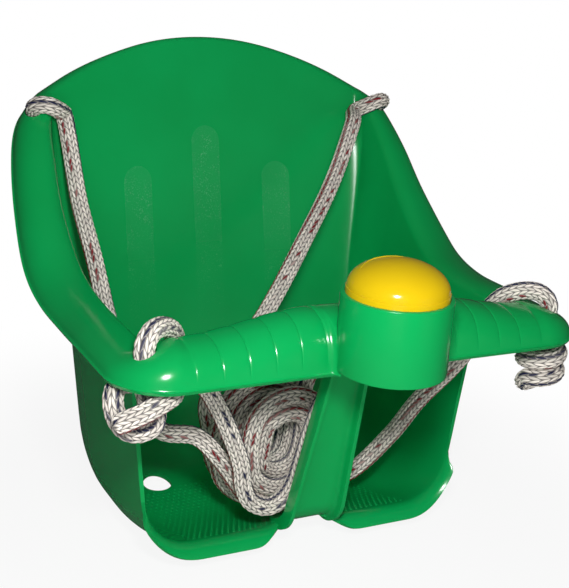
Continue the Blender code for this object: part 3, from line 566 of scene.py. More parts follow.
# ------------------------------------------------------------------ the moulding
@dataclass
class Moulding:
    """The one-piece seat: back, pan, side walls, arm ring, front bar, post and horn cup."""

    wall: float = 0.0028
    edge_lip: float = 0.0014
    back_top_z: float = 0.3187
    back_foot_y: float = 0.0880
    back_lean: float = 0.24
    back_hollow: float = 1.1
    back_fillet: float = 0.045
    arch_drop: float = 0.045
    arch_power: float = 2.08
    arch_roll: float = 0.0098
    arch_crown: float = 0.0036
    arch_flange: float = 0.0080
    pan_front: tuple[float, float] = (-0.0515, 0.0180)
    pan_flat_y: float = 0.0150
    pommel: tuple[float, float] = (0.0080, 0.0300)
    wall_foot_x: float = 0.1125
    lip_roll: float = 0.0114
    lip_fade: tuple[float, float] = (0.0120, 0.0380)
    rim_guide: tuple[Row, ...] = (
        (0.1290, 0.1275, 0.2755, -42, 0.0220, 0.0062, 0.0085),
        (0.1322, 0.1190, 0.2620, -28, 0.0262, 0.0068, 0.0088),
        (0.1338, 0.1045, 0.2430, -12, 0.0285, 0.0074, 0.0090),
        (0.1350, 0.0815, 0.2145, 0, 0.0308, 0.0078, 0.0092),
        (0.1345, 0.0505, 0.1890, 0, 0.0345, 0.0076, 0.0088),
        (0.1325, 0.0230, 0.1745, 0, 0.0352, 0.0075, 0.0080),
        (0.1310, -0.0120, 0.1685, 0, 0.0340, 0.0075, 0.0070),
        (0.1310, -0.0490, 0.1685, 0, 0.0340, 0.0075, 0.0065))
    notch_x: float = 0.139
    rim_base_z: float = 0.1620
    ring_half: float = 0.1650
    ring_inner: float = 0.1310
    corner_out: float = 0.0360
    corner_in: float = 0.0085
    bar_front_y: float = -0.1315
    bar_width: float = 0.0420
    bar_high: float = 0.0350
    bar_low: float = 0.0230
    side_high: float = 0.0140
    side_crown: float = 0.0075
    inner_skirt: float = 0.0100
    grip_count: int = 5
    grip_pitch: float = 0.0168
    grip_first_x: float = 0.0460
    grip_depth: float = 0.0011
    post_half: tuple[float, float] = (0.0210, 0.0150)
    post_foot: tuple[float, float] = (-0.0715, 0.0270)
    post_head: tuple[float, float] = (-0.0950, 0.1340)
    post_flange: float = 0.0070
    post_fillet: float = 0.0025
    post_roll: float = 0.0260
    post_toe_tilt: float = 0.10
    cup_y: float = -0.1395
    cup_radius: float = 0.0340
    cup_base_z: float = 0.1665
    cup_top_z: float = 0.2133
    cup_wall: float = 0.0018
    cup_lip: float = 0.0008
    cup_lip_high: float = 0.0025
    lug_radius: float = 0.0036
    lug_ring: float = 0.0292
    lug_low: float = 0.1710
    lug_high: float = 0.0190
    pilot_radius: float = 0.0016
    rope_hole: float = 0.0135
    hole_front: tuple[float, float] = (0.1440, -0.1065)
    hole_rear: tuple[float, float] = (0.9, 0.52)
    drain: tuple[float, float, float] = (0.0215, 0.0640, 0.0560)
    dot_pitch: float = 0.0042
    dot_size: tuple[float, float] = (0.00115, 0.00045)
    dot_rows: int = 27
    dot_columns: int = 20
    dot_first_y: float = -0.0490
    dot_last_x: float = 0.0850
    dot_gaps: tuple[float, float] = (0.002, 0.0035)
    fine: int = 2
    back_steps: int = field(init=False)
    fillet_steps: int = field(init=False)
    wall_end: int = field(init=False)
    pan_columns: int = field(init=False)
    corner_rows: int = field(init=False)
    crease: int = field(init=False)
    skirt: int = field(init=False)
    inner_rows: int = field(init=False)
    outer_rows: int = field(init=False)
    outer_edge: int = field(init=False)

    def __post_init__(self) -> None:
        """Count the grid's rows and columns from the fineness."""
        self.back_steps = 8 * self.fine
        self.fillet_steps = 5 * self.fine
        self.wall_end = 18 * self.fine
        self.pan_columns = 8 * self.fine
        self.corner_rows = 4 * self.fine
        self.crease = self.pan_columns + self.corner_rows + 5
        self.skirt = self.crease - 2
        self.inner_rows = 3 * self.fine
        self.outer_rows = 5 * self.fine + 1
        self.outer_edge = self.crease + self.inner_rows + self.outer_rows

    # -- the surface
    def back_y(self, x: float, z: float) -> float:
        """The backrest's surface at height z, x off the middle."""
        return self.back_foot_y + self.back_lean * z - self.back_hollow * x * x

    def pan_z(self, x: float, y: float) -> float:
        """Find the height of the pan's upper surface.

        Args:
            x: place across the seat.
            y: place along it.

        Returns:
            The height.
        """
        front_y, front_z = self.pan_front
        ease = 1 - smoothstep(2 * front_y - self.pan_flat_y, self.pan_flat_y, y)
        rise = (front_z - self.wall) * 2 * ease
        swell = self.pommel[0] * 2 * ease * (1 - smoothstep(0, self.pommel[1], abs(x)))
        return self.wall + rise + swell

    def centre_station(self, x: float, k: float) -> Vector:
        """Find a point of the line that runs down the back at x, into the pan and forward.

        Args:
            x: place across the seat.
            k: station on the line, 0 at the back's top and wall_end at the pan's front.

        Returns:
            The point.
        """
        turn = math.pi / 2 - math.atan(self.back_lean)
        reach = self.back_fillet * math.tan(turn / 2)
        foot_y = self.back_y(x, self.wall)
        if k <= self.back_steps:
            top_z = self.back_top_z - self.arch_drop * (x / self.notch_x) ** self.arch_power
            low_z = self.wall + reach * Vector((self.back_lean, 1)).normalized().y
            z = top_z + (low_z - top_z) * k / self.back_steps
            return Vector((x, self.back_y(x, z), z))
        if k < self.back_steps + self.fillet_steps:
            angle = turn * (1 - (k - self.back_steps) / self.fillet_steps)
            y = foot_y - reach + self.back_fillet * math.sin(angle)
            return Vector((x, y, self.wall + self.back_fillet * (1 - math.cos(angle))))
        start_y = foot_y - reach
        share = (k - self.back_steps - self.fillet_steps) / (
            self.wall_end - self.back_steps - self.fillet_steps)
        y = start_y + (self.pan_front[0] - start_y) * share
        return Vector((x, y, self.pan_z(x, y)))

    def side_x(self, k: float) -> float:
        """Where the pan's columns end and the corner into the side wall starts."""
        rows = ((0.112,), (0.106,), (0.098,), (0.086,), (0.083,), (0.083,))
        return spline(rows, k / self.wall_end)[0]

    def rim_frame(self, share: float) -> tuple[Vector, Vector, Vector, float, float, float]:
        """Find the rim's crease and section.

        Args:
            share: how far along the rim, from 0 at the notch to 1 at the front.

        Returns:
            The crease's point, the outward and upward axes, and width, crown and drop.
        """
        x, y, z, tilt, width, crown, drop = spline(self.rim_guide, share)
        ahead = Vector(spline(self.rim_guide, share + 0.02)[:3])
        behind = Vector(spline(self.rim_guide, share - 0.02)[:3])
        along = (ahead - behind).normalized()
        out = Vector((math.cos(math.radians(tilt)), 0, math.sin(math.radians(tilt))))
        out = (out - along * out.dot(along)).normalized()
        return Vector((x, y, z)), out, along.cross(out), width, crown, drop

    def rim_section(self, width: float, crown: float, drop: float) -> list[tuple[float, float]]:
        """Lay out the rim's section, from its crease to its lower outer edge.

        Args:
            width: how far the rim reaches outward.
            crown: how far it rises above its crease.
            drop: how far its outer edge hangs below its crease.

        Returns:
            Offsets outward and upward.
        """
        peak = 0.36 * width
        points = []
        for row in range(1, self.inner_rows + 1):
            angle = math.pi / 2 * row / self.inner_rows
            points.append((peak * (1 - math.cos(angle)), crown * math.sin(angle)))
        last = self.outer_rows - 1
        for row in range(1, last):
            angle = math.pi / 2 * row / last
            out = peak + (width - peak) * math.sin(angle) ** 0.9
            points.append((out, -drop + (crown + drop) * math.cos(angle) ** 0.9))
        points.append((width, -drop + 1.8 * self.edge_lip))
        points.append((width + 0.85 * self.edge_lip, -drop + 1.3 * self.edge_lip))
        points.append((width + self.edge_lip, -drop))
        return points[:self.inner_rows + self.outer_rows]

    def wall_column(self, k: float, row: int) -> Vector:
        """Find a point of the side wall.

        Args:
            k: station along the wall.
            row: row up the wall; 1 starts round the corner and the last is the crease.

        Returns:
            The point.
        """
        share = k / self.wall_end
        low = self.centre_station(self.side_x(k), k)
        crease = self.rim_frame(share)[0]
        foot_x = crease.x + (self.wall_foot_x - crease.x) * smoothstep(0.0, 0.35, share)
        corner = self.centre_station(foot_x, k)
        up = crease - corner
        height = up.length
        up.normalize()
        radius = min(corner.x - low.x, 0.6 * height)
        start = corner + (low - corner).normalized() * radius
        end = corner + up * radius
        if row <= self.corner_rows:
            angle = math.pi / 2 * row / self.corner_rows
            centre = start + end - corner
            return centre - (end - corner) * math.cos(angle) + (corner - start) * math.sin(angle)
        skirt = crease - up * min(self.inner_skirt, 0.35 * (height - radius))
        rows = {1: end.lerp(skirt, 1 / 3), 2: end.lerp(skirt, 2 / 3), 3: skirt,
                4: skirt.lerp(crease, 0.5)}
        return rows[row - self.corner_rows]

    def seat_point(self, k: float, v: int) -> Vector:
        """Find a point of the seat's visible surface.

        Args:
            k: station along the wall.
            v: column, from 0 on the plane of symmetry outward.

        Returns:
            The point.
        """
        if v <= self.pan_columns:
            return self.centre_station(self.side_x(k) * v / self.pan_columns, k)
        if v < self.crease:
            return self.wall_column(k, v - self.pan_columns)
        crease, out, up, width, crown, drop = self.rim_frame(k / self.wall_end)
        if v == self.crease:
            return crease
        n, h = self.rim_section(width, crown, drop)[v - self.crease - 1]
        return crease + out * n + up * h

    def arch_point(self, v: int, row: int) -> Vector:
        """Find a point of the rim over the arch.

        Args:
            v: column of the backrest's top edge.
            row: row over the rim, 0 at that edge.

        Returns:
            The point.
        """
        at = self.seat_point(0, v)
        if row == 0:
            return at
        if v == self.crease:
            return self.seat_point(0, v + row)
        flat = min(v, self.pan_columns)
        along = self.seat_point(0, flat + 1) - self.seat_point(0, max(flat - 1, 0))
        along = along.normalized() if flat else Vector((1, 0, 0))
        behind = Vector((0, 1, -self.back_lean))
        out = (behind - along * behind.dot(along)).normalized()
        _, notch_out, notch_up, width, crown, drop = self.rim_frame(0)
        turned = max(0, v - self.pan_columns) / (self.crease - self.pan_columns)
        up = along.cross(out).slerp(notch_up, turned)
        out = out.slerp(notch_out, turned)
        part = smoothstep(0.060, self.notch_x - 0.012, at.x)
        width = self.arch_roll + (width - self.arch_roll) * part
        crown = self.arch_crown + (crown - self.arch_crown) * part
        drop = self.arch_flange + (drop - self.arch_flange) * part
        n, h = self.rim_section(width, crown, drop)[row - 1]
        return at + out * n + up * h

    # -- the ring ahead of the side walls
    def bar_stations(self) -> list[tuple[Vector, Vector, float, float]]:
        """Lay out the sections along the ring's corner and the front bar.

        Returns:
            For each one its inner point, outer point, height and flute depth.
        """
        stations: list[tuple[Vector, Vector, float | None, float]] = []
        inner_y = self.bar_front_y + self.bar_width
        outer_c = Vector((self.ring_half - self.corner_out, self.bar_front_y + self.corner_out, 0))
        inner_c = Vector((self.ring_inner - self.corner_in, inner_y + self.corner_in, 0))
        steps = 8 * self.fine
        for step in range(steps + 1):
            angle = math.pi / 2 * step / steps
            ray = Vector((math.cos(angle), -math.sin(angle), 0))
            high = self.side_high + (self.bar_low - self.side_high) * smoothstep(0, steps, step)
            stations.append((inner_c + ray * self.corner_in, outer_c + ray * self.corner_out,
                             high, 0.0))
        first = self.grip_first_x + (self.grip_count - 0.5) * self.grip_pitch
        last = self.grip_first_x - 0.5 * self.grip_pitch
        half_band = (0.0, 0.025, 0.06, 0.11, 0.19, 0.32)
        band = half_band + (0.5,) + tuple(1 - share for share in reversed(half_band[1:]))
        phases = [number + share for number in range(self.grip_count) for share in band]
        for phase in phases + [float(self.grip_count)]:
            x = first - phase * self.grip_pitch
            groove = self.grip_depth * (1 - math.sin(math.pi * (phase % 1.0)) ** 0.30)
            stations.append((Vector((x, inner_y, 0)), Vector((x, self.bar_front_y, 0)), None,
                             groove))
        cup_x = math.sqrt(self.cup_radius ** 2 - (self.bar_front_y - self.cup_y) ** 2)
        fillet = last - cup_x
        front = self.bar_front_y
        for angle in (math.radians(10 * step) for step in range(1, 10)):
            x = last - fillet * math.sin(angle)
            front = self.bar_front_y - fillet * (1 - math.cos(angle))
            stations.append((Vector((x, inner_y, 0)), Vector((x, front, 0)), None, 0.0))
        for step in range(1, 6):
            x = cup_x * (1 - step / 5)
            stations.append((Vector((x, inner_y, 0)), Vector((x, front, 0)), None, 0.0))
        full = []
        for inner, outer, high, groove in stations:
            if high is None:
                near = smoothstep(self.ring_inner - self.corner_in, self.cup_radius, inner.x)
                high = self.bar_low + (self.bar_high - self.bar_low) * near
            full.append((inner, outer, high, groove))
        return full

    def bar_point(self, station: tuple[Vector, Vector, float, float], v: int) -> Vector:
        """Find a point of the ring ahead of the side walls.

        Args:
            station: its section, as bar_stations gives it.
            v: column, from the skirt outward.

        Returns:
            The point.
        """
        inner, outer, high, groove = station
        across = outer - inner
        out = across.normalized()
        crown = self.side_crown + 0.35 * (high - self.side_high)
        drop = high - crown
        crease = inner + Vector((0, 0, self.rim_base_z + drop)) + out * groove
        if v <= self.crease:
            return crease - Vector((0, 0, drop * 0.9)) * (self.crease - v) / 2
        n, h = self.rim_section(across.length, crown, drop)[v - self.crease - 1]
        away = smoothstep(-drop, crown, h)
        point = crease + out * (n - groove) + Vector((0, 0, h))
        if v < self.outer_edge - 2:
            point -= Vector((0, 0, groove * away)) + out * groove * (1 - away)
        return point

    def lip_point(self, v: int, row: int, rows: int) -> Vector:
        """Find a point of the lip that rolls down from the pan's front edge.

        Args:
            v: column of the pan.
            row: row down the lip, 0 at the pan's edge.
            rows: how many rows the lip has.

        Returns:
            The point.
        """
        front = self.seat_point(self.wall_end, v)
        if row == 0 or v == self.pan_columns + self.corner_rows:
            return front
        forward = (front - self.seat_point(self.wall_end - 1, v)).normalized()
        side = (self.seat_point(self.wall_end, v + 1)
                - self.seat_point(self.wall_end, max(v - 1, 0)))
        face = side.cross(-forward).normalized()
        start = smoothstep(*self.lip_fade, front.x)
        end = 1 - 0.35 * smoothstep(self.pan_columns,
                                    self.pan_columns + self.corner_rows - self.fine, v)
        angle = math.radians(4 + 84 * start * end) * row / rows
        return front + (forward * math.sin(angle) - face * (1 - math.cos(angle))) * self.lip_roll

    def half_surface(self) -> bmesh.types.BMesh:
        """Lay out the visible surface of one half of the seat.

        Returns:
            The surface, open at X = 0.
        """
        bm = bmesh.new()
        placed_grid(bm, self.wall_end, self.outer_edge, self.seat_point)
        placed_grid(bm, self.crease, self.outer_edge - self.crease, self.arch_point)
        bars = self.bar_stations()
        placed_grid(bm, len(bars), self.outer_edge - self.skirt, lambda i, j: (
            self.bar_point(bars[i - 1], self.skirt + j) if i
            else self.seat_point(self.wall_end, self.skirt + j)))
        rows = 3 * self.fine
        placed_grid(bm, self.pan_columns + self.corner_rows, rows,
                    lambda i, j: self.lip_point(i, j, rows))
        bmesh.ops.remove_doubles(bm, verts=bm.verts, dist=1e-6)
        bmesh.ops.dissolve_degenerate(bm, edges=bm.edges, dist=1e-7)
        for vert in bm.verts:
            if abs(vert.co.x) < 1e-6:
                vert.co.x = 0.0
        bmesh.ops.recalc_face_normals(bm, faces=bm.faces)
        pan = min(bm.faces, key=lambda f: (f.calc_center_median() - Vector((0.03, 0.03, 0))).length)
        if pan.normal.z < 0:
            bmesh.ops.reverse_faces(bm, faces=bm.faces)
        return bm

    # -- the crotch post
    def post_blank(self) -> bpy.types.Object:
        """Make the channel-shaped post, from the bar's roof down and round under the pan.

        Returns:
            The closed form that is joined to the seat.
        """
        foot = Vector((0, *self.post_foot))
        up = (Vector((0, *self.post_head)) - foot).normalized()
        forward = Vector((0, -up.z, up.y))
        turn = math.pi / 2 - math.atan2(-up.y, up.z) - self.post_toe_tilt

        def web(z: float) -> Vector:
            """Middle of the web's front face at height z."""
            return foot + up * ((z - foot.z) / up.z) - forward * self.post_flange

        def half(z: float) -> float:
            """Half the post's width at height z."""
            part = (z - foot.z) / (self.post_head[1] - foot.z)
            return self.post_half[0] + (self.post_half[1] - self.post_half[0]) * max(part, 0.0)

        def rolled(start: Vector, angle: float) -> tuple[Vector, Vector]:
            """A point of the roll under the pan, and the way its flanges point."""
            normal = forward * math.cos(angle) - up * math.sin(angle)
            return start + (normal - forward) * self.post_roll, normal

        low_z = self.post_foot[1]
        for _ in range(6):
            toe = rolled(web(low_z), turn)[0]
            low_z += self.pan_z(0, toe.y) - 1.5 * self.wall - toe.z
        top_z = self.rim_base_z + self.bar_high - 0.6 * self.wall
        stations = []
        for step in range(9):
            z = top_z + (low_z - top_z) * step / 8
            stations.append((web(z), forward, self.post_flange, half(z)))
        steps = 14
        for step in range(1, steps + 1):
            share = step / steps
            point, normal = rolled(web(low_z), turn * share)
            stations.append((point, normal, self.post_flange * (1 - 0.7 * share ** 2),
                             half(low_z)))

        bm = bmesh.new()
        ring = None
        for point, normal, flange, half_wide in stations:
            inside = half_wide - self.wall
            r = self.post_fillet
            outline = [(-half_wide, -self.wall), (half_wide, -self.wall), (half_wide, flange),
                       (inside, flange)]
            outline += [(inside - r + r * math.cos(a), r - r * math.sin(a))
                        for a in (0, math.pi / 6, math.pi / 3, math.pi / 2)]
            outline += [(-x, d) for x, d in reversed(outline[4:])] + [(-inside, flange),
                                                                     (-half_wide, flange)]
            places = [point + Vector((x, 0, 0)) + normal * d for x, d in outline]
            if ring is None:
                ring = [bm.verts.new(place) for place in places]
                bm.faces.new(ring)
                continue
            edges = [bm.edges.get((a, b)) for a, b in zip(ring, ring[1:] + ring[:1])]
            made = bmesh.ops.extrude_edge_only(bm, edges=edges)["geom"]
            new = [g for g in made if isinstance(g, bmesh.types.BMVert)]
            match = {}
            for vert in new:
                for edge in vert.link_edges:
                    other = edge.other_vert(vert)
                    if other in ring:
                        match[other] = vert
            ring = [match[vert] for vert in ring]
            for vert, place in zip(ring, places):
                vert.co = place
        bm.faces.new(ring)
        bmesh.ops.recalc_face_normals(bm, faces=bm.faces)
        return soften(linked("post", bm), 0.0008, 50)

    def rear_hole(self, side: Side) -> tuple[Vector, Vector, Vector]:
        """Find an upper rope hole.

        Args:
            side: the side of the seat.

        Returns:
            Its middle, its axis and the rim's outward direction.
        """
        crease, out, up, width, crown, _ = self.rim_frame(self.hole_rear[0] / 18)
        place = crease + out * width * self.hole_rear[1] + up * crown
        return tuple(Vector((side.value * p.x, p.y, p.z)) for p in (place, up, out))

    def build(self, finish: bpy.types.Material) -> bpy.types.Object:
        """Make the whole moulding.

        Args:
            finish: its material.

        Returns:
            The piece.
        """
        seat = finished("seat_moulding", self.half_surface(), finish)
        mirror = seat.modifiers.new("other_half", "MIRROR")
        mirror.merge_threshold = 1e-5
        smooth = seat.modifiers.new("smooth", "SUBSURF")
        smooth.levels = smooth.render_levels = 1
        shell = seat.modifiers.new("wall", "SOLIDIFY")
        shell.thickness = self.wall
        shell.offset = -1
        shell.use_quality_normals = True

        tools: list[bpy.types.Object] = []

        def join(operation: str, tool: bpy.types.Object) -> None:
            """Add a Boolean step.

            Args:
                operation: what it does, UNION or DIFFERENCE.
                tool: the closed form that it does it with.
            """
            step = seat.modifiers.new("join", "BOOLEAN")
            step.operation = operation
            step.solver = "MANIFOLD"
            step.object = tool
            tools.append(tool)

        middle = (0, self.cup_y, 0)
        bore = self.cup_radius - self.cup_wall
        lip_z = self.cup_top_z - self.cup_lip_high
        join("UNION", self.post_blank())
        join("UNION", self.cup_blank())
        join("DIFFERENCE", cylinder(bore, self.rim_base_z - 0.01, lip_z, middle, 96))
        join("DIFFERENCE", cylinder(bore - self.cup_lip, lip_z - 0.005, self.cup_top_z + 0.01,
                                    middle, 96))
        for index in range(3):
            turn = math.pi / 2 + 2 * math.pi * index / 3
            place = (self.lug_ring * math.cos(turn), self.cup_y + self.lug_ring * math.sin(turn), 0)
            join("UNION", cylinder(self.lug_radius, self.lug_low, self.lug_low + self.lug_high,
                                   place, 24))
            join("DIFFERENCE", cylinder(self.pilot_radius, self.lug_low - 0.001,
                                        self.lug_low + 0.0095, place, 16))
        for side in Side:
            x, y = self.hole_front
            join("DIFFERENCE", cylinder(self.rope_hole / 2, self.rim_base_z - 0.005,
                                        self.rim_base_z + self.bar_low + 0.01,
                                        (side.value * x, y, 0), 48))
            place, axis, _ = self.rear_hole(side)
            join("DIFFERENCE", cylinder(self.rope_hole / 2, -0.010, 0.012, place, 48, axis))
            size, x, y = self.drain
            join("DIFFERENCE", cylinder(size / 2, -0.01, 0.02, (side.value * x, y, 0), 48))
        settle(seat, tools)
        seat.data.shade_smooth()
        seat.data.set_sharp_from_angle(angle=math.radians(38))
        return seat

    def pan_dots(self, finish: bpy.types.Material) -> bpy.types.Object:
        """Make the pan's fine raised dots, clear of its walls, lips and drain holes.

        Args:
            finish: their material.

        Returns:
            The piece.
        """
        bm = bmesh.new()
        radius, high = self.dot_size
        edge_gap, drain_gap = self.dot_gaps
        drain_size, drain_x, drain_y = self.drain
        for row in range(self.dot_rows):
            y = self.dot_first_y + row * self.dot_pitch
            for column in range(-self.dot_columns, self.dot_columns + 1):
                x = (column + 0.5 * (row % 2)) * self.dot_pitch
                edge = self.centre_station(x, self.back_steps + self.fillet_steps).y
                if abs(x) > self.dot_last_x or y > edge - edge_gap:
                    continue
                if math.hypot(abs(x) - drain_x, y - drain_y) < drain_size / 2 + drain_gap:
                    continue
                place = Matrix.Translation((x, y, self.pan_z(x, y)))
                bmesh.ops.create_icosphere(bm, subdivisions=2, radius=1.0,
                                           matrix=place @ Matrix.Diagonal((radius, radius, high, 1)))
        return finished("pan_dots", bm, finish, 180)

    def cup_blank(self) -> bpy.types.Object:
        """The horn cup's outer form, with softened edges."""
        cup = cylinder(self.cup_radius, self.cup_base_z, self.cup_top_z, (0, self.cup_y, 0), 96)
        return soften(cup, 0.0007, 30)


# ------------------------------------------------------------------ the push dome
@dataclass
class PushDome:
    """The horn's yellow push dome: flange, band and a shallow cap with a fine ridge."""

    cup: Moulding
    band_high: float = 0.0035
    high: float = 0.0210
    skin: float = 0.0020
    step: float = 0.0004
    flange: float = 0.0015
    rib_radius: float = 0.0120
    bellows_top: float = 0.2178
    ridge_start: float = -0.82
    ridge_length: float = 1.02
    ridge_rear: float = 0.20
    ridge_bow: float = 0.25
    ridge_thick: float = 0.00055

    def build(self, finish: bpy.types.Material) -> bpy.types.Object:
        """Turn the dome's profile about its axis.

        Args:
            finish: its material.

        Returns:
            The piece.
        """
        cup = self.cup
        bore = cup.cup_radius - cup.cup_wall
        band = bore - cup.cup_lip - CLEARANCE
        rim = bore - CLEARANCE
        flange_top = cup.cup_top_z - cup.cup_lip_high - CLEARANCE
        band_top = cup.cup_top_z + self.band_high
        cap = self.high - self.band_high
        outer = band - self.step
        steps = 24
        profile = [(outer * math.sin(math.pi / 2 * s / steps),
                    band_top + cap * math.cos(math.pi / 2 * s / steps)) for s in range(steps + 1)]
        profile += [(band - 0.0001, band_top - 0.0001), (band, band_top - 0.0004),
                    (band, flange_top), (rim, flange_top), (rim, flange_top - self.flange),
                    (band - self.skin, flange_top - self.flange)]
        inner_a, inner_b = band - self.skin, cap - self.skin

        def ceiling(radius: float) -> float:
            """Height of the dome's inner surface."""
            return band_top + inner_b * math.sqrt(max(0.0, 1 - (radius / inner_a) ** 2))

        rib_out, rib_in = self.rib_radius + self.skin / 2, self.rib_radius - self.skin / 2
        low = self.bellows_top + CLEARANCE
        for radius in (inner_a, 0.98 * inner_a, 0.93 * inner_a, 0.84 * inner_a, 0.7 * inner_a,
                       0.55 * inner_a, rib_out):
            profile.append((radius, ceiling(radius)))
        profile += [(rib_out, low), (rib_in, low), (rib_in, ceiling(rib_in)),
                    (0.5 * rib_in, ceiling(0.5 * rib_in)), (0, ceiling(0))]
        bm = spun(profile, cup.cup_y, 128)
        self.ridge(bm, outer, band_top, cap)
        bmesh.ops.recalc_face_normals(bm, faces=bm.faces)
        return finished("push_dome", bm, finish, 42)

    def ridge(self, bm: bmesh.types.BMesh, radius: float, low: float, high: float) -> None:
        """Add the fine mould line that runs over the cap's rear left.

        Args:
            bm: the dome's mesh.
            radius: the cap's radius.
            low: height of the cap's foot.
            high: the cap's own height.
        """
        steps, sides = 40, 8

        def place(i: int, j: int) -> Vector:
            """Find a point of the ridge's thin skin, which closes to a point at both ends.

            Args:
                i: step along the ridge.
                j: step round it.

            Returns:
                The point.
            """
            share, turn = i / steps, 2 * math.pi * (j % sides) / sides
            x = radius * (self.ridge_start + self.ridge_length * share)
            y = radius * (self.ridge_rear + self.ridge_bow * math.sin(math.pi * share))
            z = low + high * math.sqrt(max(1 - (x * x + y * y) / radius ** 2, 0.0))
            thick = self.ridge_thick * math.sin(math.pi * share) ** 0.4
            return Vector((x + 0.3 * thick * math.sin(turn), self.cup.cup_y + y + thick *
                           math.cos(turn), z - 0.0001 + thick * math.sin(turn)))

        skin = bmesh.new()
        placed_grid(skin, steps, sides, place)
        bmesh.ops.remove_doubles(skin, verts=skin.verts, dist=1e-6)
        mesh = bpy.data.meshes.new("ridge")
        skin.to_mesh(mesh)
        skin.free()
        bm.from_mesh(mesh)
        bpy.data.meshes.remove(mesh)


@dataclass
class Bellows:
    """The folded air bellows between the plate and the dome, which the dome squeezes."""

    centre_y: float
    top: float
    radius: float = 0.0225
    fold: float = 0.0040
    folds: int = 6
    wall: float = 0.0012
    mouth: float = 0.0088
    high: float = 0.0468
    travel: float = 0.0060
    spare: float = 0.0004

    def build(self, finish: bpy.types.Material) -> bpy.types.Object:
        """Turn the folded profile about the horn's axis.

        Args:
            finish: its material.

        Returns:
            The piece, which rides on the seat.
        """
        low, pitch = self.top - self.high, self.high / self.folds
        neck = self.radius - self.fold
        outer, inner = [], []
        for fold in range(self.folds):
            z = self.top - pitch * fold
            outer += [(neck, z), (self.radius, z - pitch / 2)]
            inner += [(neck - self.wall, z if fold else z - self.wall),
                      (self.radius - self.wall, z - pitch / 2)]
        outer.append((neck, low))
        inner.append((neck - self.wall, low + self.wall))
        profile = [(0, self.top), *outer, (self.mouth, low), (self.mouth, low + self.wall),
                   *reversed(inner), (0, self.top - self.wall)]
        bm = spun(profile, self.centre_y, 72)
        bmesh.ops.recalc_face_normals(bm, faces=bm.faces)
        piece = finished("folded_bellows", bm, finish, 25)
        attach(piece, "seat")
        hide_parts("horn_bellows")
        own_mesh(piece)
        return piece


